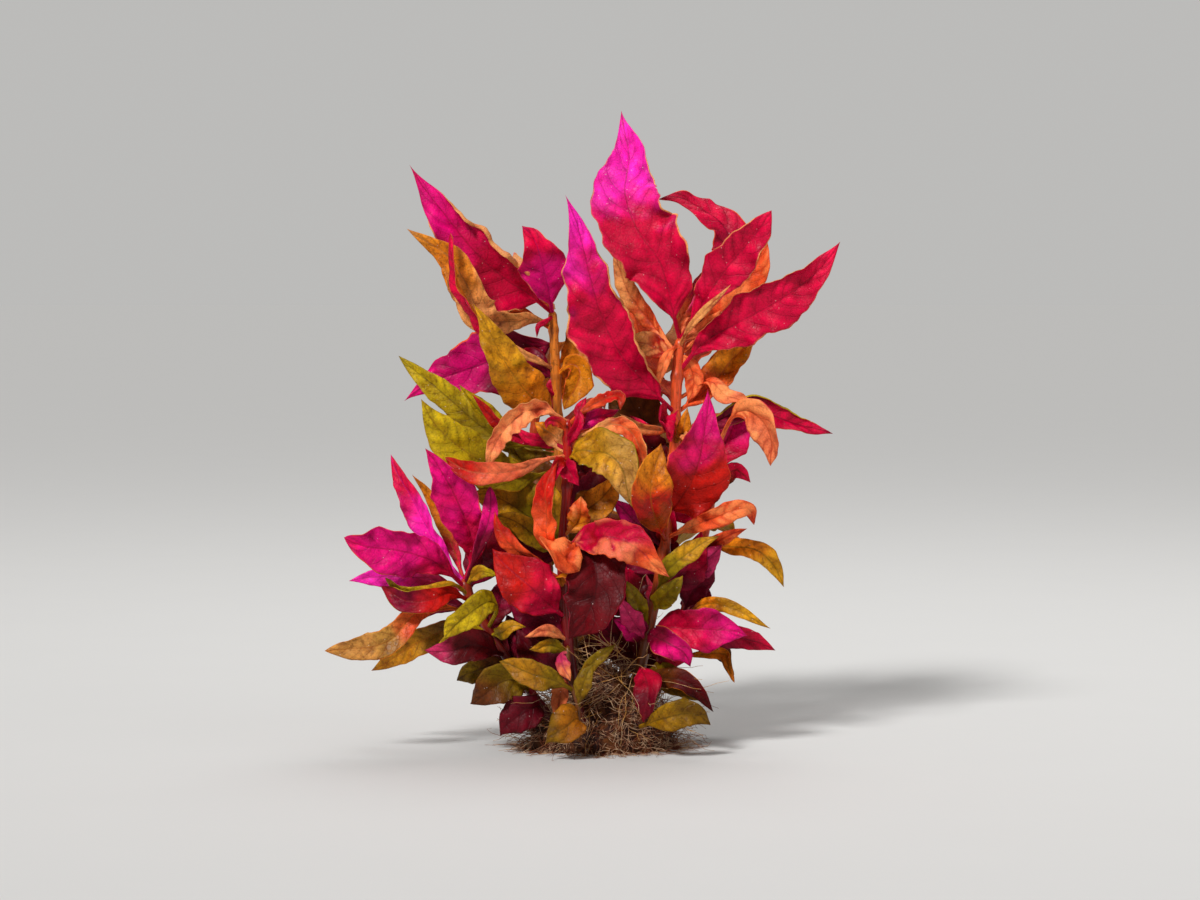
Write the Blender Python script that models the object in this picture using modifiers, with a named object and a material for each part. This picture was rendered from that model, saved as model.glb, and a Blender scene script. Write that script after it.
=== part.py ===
"""A bunch of Alternanthera reineckii: leafy stems that stand in their own clump of fine roots.

Lengths in the tables are millimetres, and MM turns them to metres. X is to the right, Z is up
and the bunch's front faces -Y. The origin is the middle of the flat cut under the roots.
"""

import math
from collections import namedtuple

import bmesh
import bpy
from mathutils import Vector
from mathutils.bvhtree import BVHTree

# Lengths are millimetres, and MM turns them to metres.
MM = 0.001
BLADE_THICKNESS = 0.7
PETIOLE_HALF_WIDTH = 0.65
TIP_HALF_WIDTH = 0.35
# How sharply a blade narrows to its ends
LANCE = 2.3
# The least clear distance between two solids
GAP = 0.35
# The distances off its stem that a leaf may begin at
PETIOLE_STARTS = (0.4, 0.6, 0.8, 1.0, 1.25, 1.5, 1.8)
# How much of its climb a leaf's direction keeps where it leaves its stem
FIRST_CLIMB = 0.4
# The length of a blade's faces, the length of a leaf that has few of them, and the half widths at
# which a blade gets more faces across
LEAF_FACE = 18.5
SHORT_LEAF = 26.5
RIBBON_LEAF = 4.1
BROAD_LEAF = 9.2
PATH_SAMPLES = 64
SECTION_SAMPLES = 6
# A blade's section is bent in full where it is wider than this share of its greatest half width
BENT_SHARE = 0.5
# A leaf sways forward or back, by up to this much and in these steps, to lie clear of its neighbours
MOST_SWAY = 16.0
SWAY_STEP = 1.0
# The share of its length over which a leaf takes up its sway
SWAY_REACH = 0.6

ROOT_RADIUS_X = 23.0
ROOT_RADIUS_Y = 16.0
ROOT_HEIGHT = 20.0
# How much higher the mound stands between the stems
ROOT_CREST = 7.0
ROOT_LUMP = 0.07
STEM_SIDES = 6
STEM_FACE = 22.0

FRONT = (0, -1, 0)
# The eye's distance, the height that it looks at, and its look down from level
EYE_DISTANCE = 1000.0
EYE_HEIGHT = 90.0
EYE_TILT = math.radians(3)

# The colours of the living plant, as sRGB hex
COLOURS = {
    "magenta": "D8107C",
    "pink": "F02C9C",
    "rose": "C4446E",
    "crimson": "B00A34",
    "wine": "6E0F2E",
    "dark_red": "6C0A10",
    "red": "C4221C",
    "coral": "DE5A38",
    "salmon": "E8886A",
    "peach": "DC9450",
    "amber": "C4761E",
    "ochre": "B88A1A",
    "yellow": "C4AC18",
    "olive": "8E8014",
    "tan": "B08C3C",
    "brown": "6A4214",
    "root": "6B4A2C",
}

Stem = namedtuple("Stem", "path radius colour")
Leaf = namedtuple("Leaf", "name stem at path half roll fold edge facing belly petiole top under fused")

# Each stem's points from foot to tip, its radius and its colour
STEMS = {
    "left_stem": Stem(
        [(-5, 4, 3), (-9, 4, 40), (-12, 3, 80), (-12.8, 2, 103), (-13.5, 1, 118), (-14.3, 1, 132)],
        1.5, "amber"),
    "right_stem": Stem(
        [(7, -3, 3), (15, -6, 38), (20, -6, 66), (22.3, -4, 92), (22.8, -2, 108), (24, -1, 124)],
        1.7, "amber"),
    "front_stem": Stem(
        [(-4, -9, 3), (-7, -12, 18), (-10.5, -13, 42), (-11.2, -13, 62), (-9.8, -14, 79),
         (-9.5, -14, 100)],
        1.5, "dark_red"),
    "low_left_stem": Stem(
        [(-10, -4, 3), (-20, -7, 17), (-31, -8, 33), (-38, -8, 45), (-41, -8, 52)],
        1.4, "coral"),
    "far_right_stem": Stem(
        [(12, 4, 3), (22, 4, 30), (29, 3, 54), (33, 1, 72), (33.5, 0, 85)],
        1.4, "coral"),
    "back_left_stem": Stem(
        [(-8, 11, 3), (-14, 14, 40), (-19, 15, 75), (-20, 16, 104)],
        1.5, "amber"),
    "back_right_stem": Stem(
        [(5, 11, 3), (10, 15, 40), (13, 17, 80), (11, 17, 112)],
        1.5, "amber"),
    "front_runner": Stem(
        [(-6.5, -21, 5), (-6.5, -21, 15), (-8, -20, 21), (-9.5, -18.5, 27), (-9.5, -17, 33)],
        0.8, "brown"),
}

LEAVES = []


def in_space(x, y, z):
    """The point at depth y that the eye in front of the bunch sees at x and z in the stems' plane."""
    lean, straight = math.sin(EYE_TILT), math.cos(EYE_TILT)
    rise = z - EYE_HEIGHT
    height = rise * (EYE_DISTANCE + y * straight) - EYE_DISTANCE * y * lean
    height /= EYE_DISTANCE * straight + rise * lean
    return (x * (EYE_DISTANCE + y * straight - height * lean) / EYE_DISTANCE, y, EYE_HEIGHT + height)


def leaf(name, stem, at, path, half, roll=(0, 0, 0), fold=(25, 14, 12), edge=(0, 0), facing=FRONT,
         belly=0.45, petiole=0.1, top=("crimson", "crimson"), under="coral", fused=False, seen=True):
    """Note a leaf: its stem and the height it grows at, its midrib's points, its greatest half width.

    The upper side faces the facing vector at half its length. Roll and fold are degrees at the
    leaf's base, middle and tip. Edge is the left and right margins' curl towards the upper side.
    The points of a leaf that is seen are given as the eye in front of the bunch sees them.
    """
    path = [in_space(*point) for point in path] if seen else path
    LEAVES.append(Leaf(name, stem, at, path, half, roll, fold, edge, facing, belly, petiole, top, under,
                       fused))


# Crown of the left stem
leaf("left_crown_leaf_1", "left_stem", 131,
     [(-21, -3, 136.5), (-29, -6, 141.8), (-38, -10, 150), (-48.5, -13, 163), (-58, -13, 175)],
     11.4, fold=(20, 12, 10), edge=(20, 160), belly=0.32, top=("crimson", "magenta"), under="peach")
leaf("left_crown_leaf_2", "left_stem", 131,
     [(-15.5, -4, 138), (-17.5, -7, 147), (-19.5, -8, 153), (-22, -10, 157.5)],
     7.0, fold=(30, 10, 40), edge=(20, 0), belly=0.5, top=("magenta", "crimson"), under="salmon")
leaf("left_crown_leaf_3", "left_stem", 128,
     [(-22, -4, 129.4), (-30, -9, 128.4), (-36, -13, 131), (-40, -16, 139.5), (-46.5, -18, 149),
      (-58.5, -20, 155.5)],
     5.2, roll=(-30, 5, 0), fold=(15, 15, 15), belly=0.5, petiole=0.03, top=("peach", "amber"),
     under="peach")
leaf("left_crown_leaf_4", "left_stem", 106,
     [(-20, -4, 111), (-30, -11, 119), (-37, -18, 130), (-42.5, -22, 140), (-45.5, -23, 155)],
     2.7, roll=(0, 55, 60), fold=(10, 30, 35), belly=0.66, top=("crimson", "crimson"),
     under="amber", fused=True)
leaf("left_crown_leaf_5", "left_stem", 122,
     [(-23, 6, 119.5), (-33, 9, 116.5), (-45, 12, 112.5), (-59.5, 14, 106.5)],
     9.5, fold=(20, 10, 10), belly=0.38, top=("wine", "magenta"), under="coral", petiole=0.03)
leaf("left_crown_leaf_6", "left_stem", 100,
     [(-17.5, -7, 103), (-24.5, -15, 110.5), (-31, -20, 121), (-36.5, -23, 134.5)],
     6.8, fold=(25, 15, 20), edge=(0, 20), belly=0.42, top=("amber", "ochre"), under="ochre")
leaf("left_crown_leaf_7", "left_stem", 104,
     [(-8.5, 7, 112), (-6.5, 9, 122), (-9.5, 9, 133.5)],
     5.2, belly=0.4, top=("amber", "brown"), under="amber", fused=True)
leaf("left_crown_leaf_8", "left_stem", 126,
     [(-22, 1, 130.5), (-32, 3, 133), (-42, 5, 140), (-49, 4, 149.5)],
     5.0, roll=(0, 20, 0), belly=0.5, top=("coral", "amber"), under="brown", fused=True)
leaf("left_crown_leaf_9", "left_stem", 112,
     [(-9, -2, 115.8), (-6.2, -3, 114), (-7.2, -3, 109), (-11.5, -3, 102.5)],
     4.5, fold=(30, 20, 20), edge=(0, 60), belly=0.55, top=("amber", "amber"), under="coral", fused=True)
leaf("left_crown_leaf_10", "left_stem", 131,
     [(-17.5, -8, 136), (-20.5, -11, 139.5), (-22, -12, 143.8)],
     1.3, belly=0.5, top=("coral", "coral"), under="coral", fused=True)
leaf("left_crown_leaf_11", "left_stem", 113,
     [(-14.8, -3, 109), (-15.6, -3, 104), (-14.6, -3, 99)],
     2.0, belly=0.5, top=("crimson", "crimson"), under="red", fused=True)
leaf("left_crown_leaf_12", "left_stem", 114,
     [(-18, -2, 116.5), (-23, -4, 119), (-27, -6, 122.5)],
     1.2, belly=0.5, top=("peach", "peach"), under="peach", fused=True)
leaf("left_crown_leaf_13", "left_stem", 130,
     [(-16.5, -4, 128.4), (-18.6, -5, 127), (-18.8, -4, 123.6)],
     0.9, belly=0.5, top=("crimson", "crimson"), under="red", fused=True)
leaf("left_crown_leaf_14", "left_stem", 111,
     [(-18, 1, 114), (-23, 3, 116), (-28.5, 4, 119)],
     5.6, belly=0.5, top=("wine", "crimson"), under="coral", fused=True)

# Crown of the right stem
leaf("right_crown_leaf_1", "right_stem", 123,
     [(22, -5, 131), (20.3, -7, 139), (17.6, -7, 147), (11.2, -6, 156), (7.5, -3, 167), (8.6, 2, 179),
      (4.5, 8, 191.5)],
     11.6, fold=(20, 10, 12), edge=(0, 30), belly=0.4, top=("crimson", "pink"), under="peach")
leaf("right_crown_leaf_2", "right_stem", 101,
     [(15, -9, 108.5), (7, -14, 117.5), (0.5, -18, 130), (-4, -21, 146), (-8.5, -22, 167)],
     10.8, fold=(30, 12, 12), edge=(0, 120), belly=0.38, top=("crimson", "magenta"), under="peach")
leaf("right_crown_leaf_3", "right_stem", 123,
     [(29.5, -8, 131.5), (36.5, -14, 142.5), (44.3, -18, 152), (52, -22, 161)],
     6.7, roll=(15, 10, 0), fold=(35, 18, 12), belly=0.58, top=("magenta", "crimson"), under="peach")
leaf("right_crown_leaf_4", "right_stem", 121,
     [(34, 7, 136), (39.5, 13, 147), (37.5, 16, 156), (31, 17, 161.5), (24.5, 16, 165.5),
      (17.5, 15, 165)],
     6.4, roll=(0, -10, -30), fold=(20, 15, 20), belly=0.5, top=("crimson", "crimson"), under="coral")
leaf("right_crown_leaf_5", "right_stem", 118,
     [(38, 3, 133), (46.5, 4, 145), (48.5, 4, 154)],
     6.0, belly=0.55, top=("coral", "coral"), under="crimson", fused=True)
leaf("right_crown_leaf_6", "right_stem", 113,
     [(31, -5, 122), (41, -9, 128), (52, -13, 134), (63, -16, 141.5), (73.3, -18, 151.2)],
     8.2, fold=(30, 12, 15), edge=(70, 0), belly=0.46, top=("magenta", "crimson"), under="peach")
leaf("right_crown_leaf_7", "right_stem", 101,
     [(33, 4, 109), (39.5, 5, 117), (47.5, 5, 124)],
     5.4, roll=(0, 20, 20), belly=0.5, top=("coral", "amber"), under="coral", fused=True)
leaf("right_crown_leaf_8", "right_stem", 105,
     [(28, 1, 108), (33, -2, 110.5), (37, -4, 106.5), (41, -5, 105.3), (46.5, -5, 103)],
     3.0, roll=(30, 40, 20), belly=0.55, top=("coral", "salmon"), under="coral", fused=True)
leaf("right_crown_leaf_9", "right_stem", 71,
     [(24, -13, 75.5), (27.5, -18, 80.5), (30, -20, 88), (31.6, -20, 97), (33.4, -19, 108.3)],
     9.5, fold=(20, 14, 35), edge=(10, 10), belly=0.36, petiole=0.05, top=("crimson", "pink"),
     under="coral")
leaf("right_crown_leaf_10", "right_stem", 93,
     [(36, 2, 99), (45, 4, 103), (54, 6, 99.5), (62, 8, 97), (70, 9, 96.2)],
     4.9, roll=(0, 20, 30), fold=(30, 20, 10), edge=(150, 0), belly=0.5, top=("wine", "crimson"),
     under="yellow")
leaf("right_crown_leaf_11", "far_right_stem", 84,
     [(38, -8, 97), (42.5, -12, 102), (47.5, -14, 100), (51, -15, 94), (51.8, -14, 85)],
     5.3, fold=(25, 15, 20), belly=0.5, petiole=0.42, top=("coral", "coral"), under="crimson")
leaf("right_crown_leaf_12", "right_stem", 118,
     [(14, 5, 130), (8, 7, 138.5), (3.5, 7, 152)],
     3.2, belly=0.5, top=("coral", "peach"), under="coral", fused=True, roll=(0, 20, 30))
leaf("right_crown_leaf_13", "right_stem", 117,
     [(15, 3, 121.5), (7.5, 4, 123)],
     4.2, belly=0.5, top=("red", "peach"), under="coral", fused=True)
leaf("right_crown_leaf_14", "right_stem", 122,
     [(20.3, -5, 118.5), (18.2, -6, 113), (17, -6, 108.5)],
     1.6, belly=0.5, top=("coral", "coral"), under="coral", fused=True)
leaf("right_crown_leaf_15", "right_stem", 123,
     [(27, -9, 128.5), (29.3, -15, 133), (31, -17.5, 139.5)],
     3.0, belly=0.5, top=("salmon", "rose"), under="salmon", fused=True, fold=(40, 40, 40))
leaf("right_crown_leaf_16", "right_stem", 122,
     [(30, -1, 126), (36.5, 0, 131.5)],
     2.2, belly=0.5, top=("salmon", "coral"), under="peach", fused=True)
leaf("right_crown_leaf_17", "right_stem", 96,
     [(17, -8, 96), (11.5, -10, 97), (6, -11, 101)],
     1.9, roll=(0, 20, 40), belly=0.5, top=("coral", "peach"), under="salmon", fused=True)
leaf("right_crown_leaf_18", "right_stem", 99,
     [(19, -10, 99.5), (19.3, -13, 96.5), (22, -15, 92.5)],
     4.8, fold=(40, 40, 40), edge=(60, 60), belly=0.5, top=("crimson", "crimson"), under="crimson",
     fused=True)
leaf("right_crown_leaf_19", "right_stem", 86,
     [(17, -3, 90), (13, -4, 95), (10, -4, 101)],
     4.4, belly=0.45, top=("dark_red", "crimson"), under="dark_red", fused=True)
leaf("right_crown_leaf_20", "right_stem", 96,
     [(25, -15, 94.5), (27, -24, 92.5), (31, -26.5, 93.5), (35, -26, 92.5)],
     1.4, roll=(0, 10, 30), belly=0.5, top=("peach", "salmon"), under="peach", fused=True)
leaf("right_crown_leaf_21", "right_stem", 90,
     [(15, 4, 97), (9, 6, 105), (5, 7, 116)],
     7.0, belly=0.5, top=("brown", "brown"), under="brown", fused=True)
leaf("right_crown_leaf_22", "right_stem", 122,
     [(25, -5, 128), (27.5, -8, 134), (31, -9, 144.5)],
     2.8, roll=(0, 30, 50), fold=(30, 40, 40), belly=0.5, top=("salmon", "rose"), under="salmon",
     fused=True)
leaf("right_crown_leaf_23", "right_stem", 119,
     [(26, -4, 117), (28.3, -5, 111), (27, -5, 104)],
     3.2, belly=0.5, top=("coral", "coral"), under="coral", fused=True)
leaf("right_crown_leaf_24", "right_stem", 121,
     [(27, -10, 127), (33, -15, 133.5), (39.5, -17, 139.5)],
     1.2, belly=0.5, top=("peach", "peach"), under="salmon", fused=True)
leaf("right_crown_leaf_25", "right_stem", 92,
     [(24.5, -9, 95), (25.5, -10, 99), (26, -10, 102.8)],
     2.0, belly=0.5, top=("amber", "amber"), under="peach", fused=True)

# Olive leaves on the left
leaf("left_olive_leaf_1", "left_stem", 84,
     [(-24, -3, 81.5), (-33, -8, 85), (-41, -12, 90), (-48, -14, 96), (-54.8, -16, 104.2)],
     7.0, fold=(25, 15, 10), belly=0.5, top=("olive", "yellow"), under="ochre")
leaf("left_olive_leaf_2", "left_stem", 90,
     [(-22, 2, 91.5), (-32, 2, 94.5), (-43, 2, 103.5), (-52, 3, 111), (-61.3, 6, 117.3)],
     4.2, roll=(0, 20, 10), belly=0.55, top=("olive", "yellow"), under="olive")
leaf("left_olive_leaf_3", "left_stem", 88,
     [(-23, 6, 91), (-31, 6, 96), (-37, 5, 102.5), (-42.8, 4, 109)],
     4.6, belly=0.5, top=("olive", "yellow"), under="olive", fused=True)
leaf("left_olive_leaf_4", "left_stem", 91,
     [(-24, 3, 94), (-31, 3, 99), (-38, 3, 107.3)],
     2.3, roll=(0, 20, 30), belly=0.5, top=("crimson", "red"), under="amber", fused=True)

# Shoot tip and big leaves of the front stem
leaf("centre_leaf_1", "front_stem", 99,
     [(-18, -18, 102.5), (-26, -21, 99), (-31.5, -22, 91.5), (-33.2, -21, 84)],
     4.4, fold=(20, 30, 30), edge=(30, 60), belly=0.5, top=("salmon", "coral"), under="peach")
leaf("centre_leaf_2", "front_stem", 94,
     [(-1, -19, 96), (4, -22, 97.7), (9, -24, 95.8), (12, -25, 90), (12.8, -24, 82)],
     2.9, roll=(0, 0, 20), fold=(20, 25, 20), belly=0.6, top=("peach", "coral"), under="peach")
leaf("centre_leaf_3", "front_stem", 88,
     [(-5, -19, 89.6), (2.5, -25, 88.8), (6.8, -28, 84), (8.2, -28, 78), (9.3, -26, 71)],
     7.0, fold=(25, 12, 10), edge=(0, 20), belly=0.4, top=("ochre", "tan"), under="olive", petiole=0.05)
leaf("centre_leaf_4", "front_stem", 89,
     [(-17, -19, 87), (-25, -23, 84), (-34, -24, 83), (-41, -22, 84.3), (-46.3, -19, 88.5)],
     3.4, fold=(20, 20, 20), edge=(0, 30), belly=0.62, top=("salmon", "red"), under="coral")
leaf("centre_leaf_5", "front_stem", 65,
     [(-7, -16, 68), (-6, -18, 71), (-5.3, -19, 76)],
     3.6, fold=(25, 20, 20), belly=0.55, petiole=0.1, top=("amber", "coral"), under="coral", fused=True)
leaf("centre_leaf_7", "left_stem", 63,
     [(-18, -2, 67), (-24, -4, 71.5), (-31, -5, 75.5), (-38.3, -4, 78)],
     8.6, belly=0.5, top=("olive", "ochre"), under="brown")
leaf("centre_leaf_8", "left_stem", 58,
     [(-18, -4, 63), (-24.5, -7, 68), (-31.5, -7, 71.5)],
     3.8, belly=0.5, top=("olive", "ochre"), under="brown", fused=True)
leaf("centre_leaf_9", "front_stem", 52,
     [(-18, -19, 55), (-25, -22, 60), (-30, -22, 66), (-32, -21, 71.5)],
     3.2, roll=(0, 30, 20), belly=0.5, top=("coral", "red"), under="coral", fused=True)
leaf("centre_leaf_10", "front_stem", 61,
     [(-12.5, -20, 61.5), (-13.8, -25, 61), (-11, -28, 58.5), (-6.3, -28, 53.3)],
     6.0, fold=(20, 15, 20), belly=0.6, petiole=0.2, top=("coral", "coral"), under="salmon")
leaf("centre_leaf_6", "front_stem", 59,
     [(-15, -18, 62), (-16, -20, 70), (-15.8, -19, 79), (-13.5, -17, 87)],
     4.3, roll=(0, 30, 0), fold=(20, 30, 20), belly=0.45, top=("coral", "red"), under="coral",
     fused=True)
leaf("centre_leaf_11", "front_stem", 50,
     [(-12, -21, 52), (-10, -24, 52.3), (-8.3, -24.5, 49.8)],
     2.4, fold=(30, 30, 30), edge=(40, 40), belly=0.5, top=("amber", "coral"), under="amber", fused=True)
leaf("centre_leaf_12", "front_stem", 62,
     [(-5, -21, 63), (2, -27, 64), (9, -30, 62), (14.5, -30, 57.5), (19.5, -28, 51)],
     5.9, fold=(25, 15, 12), edge=(0, 10), belly=0.5, top=("crimson", "salmon"), under="coral")
leaf("centre_leaf_13", "front_stem", 57,
     [(-4, -19, 59.5), (-1, -23, 53), (-2.5, -24, 43.5), (-8.5, -22, 32.5)],
     9.4, fold=(25, 12, 10), belly=0.48, top=("dark_red", "dark_red"), under="crimson")
leaf("centre_leaf_14", "front_stem", 41,
     [(-16, -18, 44.5), (-21, -21, 49.5), (-27, -21, 54.5), (-33, -19, 60)],
     7.8, belly=0.45, top=("crimson", "red"), under="red")
leaf("centre_leaf_15", "front_stem", 35,
     [(-15, -15, 37.5), (-21, -16, 41), (-28, -15, 43.5)],
     6.4, belly=0.5, top=("wine", "wine"), under="wine", fused=True)
leaf("centre_leaf_16", "front_stem", 96,
     [(-6, -14, 99), (-6, -13, 102), (-4.3, -12, 106)],
     2.0, belly=0.5, top=("red", "crimson"), under="red", fused=True)
leaf("centre_leaf_17", "front_stem", 98,
     [(-4, -16, 102.5), (1.4, -17, 105.3), (6, -18, 106), (6.4, -19, 102)],
     1.9, roll=(0, 20, 20), belly=0.6, top=("coral", "red"), under="salmon", fused=True)
leaf("centre_leaf_18", "front_stem", 95,
     [(-2, -13, 99.5), (6, -12, 101.5)],
     2.4, belly=0.5, top=("magenta", "crimson"), under="rose", fused=True)
leaf("centre_leaf_19", "front_stem", 88,
     [(-12, -12, 92.5), (-15.5, -12, 95.5), (-20, -11.5, 97.8)],
     3.4, belly=0.5, top=("peach", "amber"), under="peach", fused=True)
leaf("centre_leaf_20", "front_stem", 84,
     [(-10.5, -18, 85.5), (-8.5, -19.5, 82.5), (-7, -19.5, 79)],
     3.0, fold=(30, 30, 30), belly=0.5, top=("crimson", "crimson"), under="red", fused=True)
leaf("centre_leaf_21", "front_stem", 30,
     [(-15, -16, 31.5), (-21, -17, 29.5)],
     2.3, belly=0.5, top=("olive", "ochre"), under="olive", fused=True)
leaf("centre_leaf_22", "front_stem", 34,
     [(-16, -19, 36), (-22.5, -20, 33.5)],
     1.9, belly=0.5, top=("salmon", "salmon"), under="salmon", fused=True)
leaf("centre_leaf_23", "front_stem", 91,
     [(-16, -11, 92.5), (-21, -11, 93.5), (-25.5, -11, 96.5)],
     2.2, belly=0.5, top=("crimson", "crimson"), under="red", fused=True)
leaf("centre_leaf_24", "front_stem", 80,
     [(-6.5, -12, 83), (-4.5, -11, 88), (-4, -10, 94)],
     3.6, fold=(30, 30, 30), belly=0.5, top=("dark_red", "crimson"), under="red", fused=True)
leaf("centre_leaf_26", "front_stem", 91,
     [(-8.3, -17, 94.5), (-6.3, -17.5, 98.5), (-6.6, -17, 103)],
     2.1, fold=(35, 35, 35), belly=0.5, top=("crimson", "crimson"), under="red", fused=True)
leaf("centre_leaf_27", "front_stem", 87,
     [(-11.5, -18, 86.5), (-13.5, -19.5, 84), (-13.2, -19.5, 80.5)],
     2.2, fold=(30, 30, 30), belly=0.5, top=("red", "crimson"), under="red", fused=True)
leaf("centre_leaf_28", "front_stem", 96,
     [(-12.5, -17, 98.5), (-15.5, -18.5, 99), (-16.5, -19, 96.5)],
     2.0, fold=(35, 35, 35), belly=0.5, top=("coral", "crimson"), under="red", fused=True)
leaf("centre_leaf_25", "left_stem", 60,
     [(-13, -5, 66), (-13.5, -6, 72), (-13.6, -6, 80)],
     4.2, belly=0.5, top=("olive", "ochre"), under="olive", fused=True)

# Right flank
leaf("right_leaf_1", "right_stem", 63,
     [(17, -12, 69), (15, -16, 76.5), (16, -16, 85), (19.5, -14, 92)],
     6.3, fold=(25, 20, 20), belly=0.5, top=("red", "amber"), under="amber")
leaf("right_leaf_2", "right_stem", 60,
     [(20.5, -16, 65), (20.5, -20, 70), (19.5, -20, 76)],
     4.0, fold=(30, 30, 30), belly=0.5, top=("red", "crimson"), under="crimson", fused=True)
leaf("right_leaf_3", "right_stem", 64,
     [(27.5, -13, 67), (35, -18, 70), (41, -19, 72.3), (45, -18, 71.7), (45.6, -16, 67)],
     3.5, fold=(25, 25, 20), edge=(40, 0), belly=0.55, top=("coral", "peach"), under="salmon")
leaf("right_leaf_4", "far_right_stem", 61,
     [(40, -4, 61), (47, -6, 60), (52, -6, 55.5), (55.6, -5, 49)],
     3.3, fold=(20, 20, 20), belly=0.5, top=("amber", "ochre"), under="olive", fused=True)
leaf("right_leaf_5", "far_right_stem", 59,
     [(37, -9, 63.5), (44, -10, 66.8)],
     2.2, belly=0.5, top=("red", "coral"), under="red", fused=True)
leaf("right_leaf_6", "far_right_stem", 57,
     [(30, -7, 55), (33, -9, 58), (37, -9, 61)],
     4.4, belly=0.5, top=("wine", "rose"), under="wine", fused=True)
leaf("right_leaf_7", "right_stem", 47,
     [(20.5, -14, 54), (27, -16, 59.5), (35.5, -15, 65)],
     3.2, roll=(0, 10, 20), belly=0.5, top=("olive", "ochre"), under="olive", fused=True)
leaf("right_leaf_8", "right_stem", 42,
     [(20, -15, 47), (25.5, -17, 51.5)],
     3.8, belly=0.5, top=("olive", "olive"), under="ochre", fused=True)
leaf("right_leaf_9", "far_right_stem", 41,
     [(27, -2, 46), (30, -3, 52), (34, -4, 59)],
     4.6, belly=0.48, top=("wine", "wine"), under="wine", fused=True)
leaf("right_leaf_10", "far_right_stem", 82,
     [(37, 3, 90.5), (40, 4, 97), (41, 4, 104.5)],
     6.8, belly=0.5, top=("crimson", "magenta"), under="coral", fused=True)
leaf("right_leaf_11", "far_right_stem", 77,
     [(38, -2, 82), (41, -3, 84), (45.5, -3, 80.5)],
     2.6, belly=0.5, top=("brown", "crimson"), under="brown", fused=True)

# Left shoot
leaf("left_shoot_leaf_1", "low_left_stem", 51,
     [(-38, -8, 59), (-40, -12, 68), (-45, -17, 79), (-51.5, -20, 91)],
     6.8, fold=(30, 12, 12), edge=(0, 20), belly=0.48, top=("rose", "pink"), under="coral")
leaf("left_shoot_leaf_2", "low_left_stem", 51,
     [(-47, -4, 58), (-52.5, -3, 68), (-57.5, -1, 78), (-64, 2, 88)],
     4.8, roll=(0, 20, 30), fold=(30, 35, 30), belly=0.5, top=("pink", "crimson"), under="coral")
leaf("left_shoot_leaf_3", "low_left_stem", 50,
     [(-44, 2, 60), (-47.5, 5, 69), (-52, 6, 77), (-57, 5, 82)],
     2.4, belly=0.5, top=("crimson", "amber"), under="amber", fused=True)
leaf("left_shoot_leaf_4", "low_left_stem", 49,
     [(-48, -14, 55.5), (-56, -19, 59), (-66, -22, 60.5), (-77, -24, 61.5)],
     7.5, fold=(30, 12, 12), edge=(0, 50), belly=0.6, top=("magenta", "pink"), under="coral")
leaf("left_shoot_leaf_5", "low_left_stem", 48,
     [(-50, -8, 51), (-60, -9, 52), (-75.5, -8, 51.5)],
     3.6, roll=(0, -10, 0), belly=0.5, top=("rose", "pink"), under="coral", fused=True)
leaf("left_shoot_leaf_6", "low_left_stem", 45,
     [(-45, -15, 47), (-52, -19, 44.8), (-59, -19, 45), (-65.5, -16, 50)],
     4.0, fold=(25, 20, 20), edge=(0, 40), belly=0.55, top=("red", "wine"), under="yellow")
leaf("left_shoot_leaf_7", "low_left_stem", 41,
     [(-47, -12, 43), (-53, -15, 42.6), (-57.5, -16, 39), (-62, -17, 33.8), (-68, -18, 31),
      (-75, -19, 30.3), (-82.5, -20, 29)],
     4.5, fold=(20, 20, 15), edge=(0, 20), belly=0.6, top=("coral", "tan"), under="amber")
leaf("left_shoot_leaf_8", "low_left_stem", 37,
     [(-43, -2, 37), (-52, 0, 33.5), (-60, 3, 29), (-68.5, 7, 22.8)],
     4.4, belly=0.5, top=("brown", "ochre"), under="amber", fused=True)
leaf("left_shoot_leaf_9", "low_left_stem", 37,
     [(-31, -15, 42), (-33, -21, 44.5), (-37, -25, 42.5), (-42, -26, 39), (-47.3, -24, 34.3)],
     4.5, fold=(25, 15, 10), belly=0.6, petiole=0.2, top=("yellow", "yellow"), under="olive")
leaf("left_shoot_leaf_10", "low_left_stem", 32,
     [(-38, -14, 35.5), (-44, -17, 34), (-50, -17, 30.5)],
     2.2, belly=0.5, top=("yellow", "yellow"), under="olive", fused=True)
leaf("left_shoot_leaf_11", "low_left_stem", 29,
     [(-37, -13, 32), (-44, -14, 30.5), (-52.5, -13, 29.5)],
     5.4, belly=0.45, top=("dark_red", "rose"), under="wine")
leaf("left_shoot_leaf_12", "low_left_stem", 25,
     [(-32, -9, 25.5), (-38, -9, 23.5), (-43.5, -8, 21.5)],
     4.4, belly=0.5, top=("brown", "olive"), under="brown", fused=True)
leaf("left_shoot_leaf_13", "low_left_stem", 50,
     [(-36, -12, 53.5), (-30.5, -13, 52.5)],
     2.1, belly=0.5, top=("ochre", "yellow"), under="olive", fused=True)
leaf("left_shoot_leaf_14", "low_left_stem", 48,
     [(-36, 0, 55), (-34, 5, 63), (-35.5, 9, 71.5)],
     6.8, belly=0.48, top=("wine", "crimson"), under="dark_red", fused=True)
leaf("left_shoot_leaf_15", "low_left_stem", 35,
     [(-29, -17, 35.5), (-27, -19, 37), (-22.3, -19, 37.6)],
     2.5, belly=0.5, top=("yellow", "ochre"), under="olive", fused=True)
leaf("left_shoot_leaf_16", "low_left_stem", 43,
     [(-48, -6, 44.5), (-56, -8, 45.5), (-64.5, -8, 49)],
     4.6, belly=0.5, top=("wine", "magenta"), under="wine", fused=True)
leaf("left_shoot_leaf_17", "low_left_stem", 47,
     [(-45, -18, 49.5), (-53, -22, 47), (-60, -22, 47.3), (-64.8, -19, 51)],
     1.8, roll=(0, 0, 20), belly=0.66, top=("ochre", "yellow"), under="yellow", fused=True)
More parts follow.
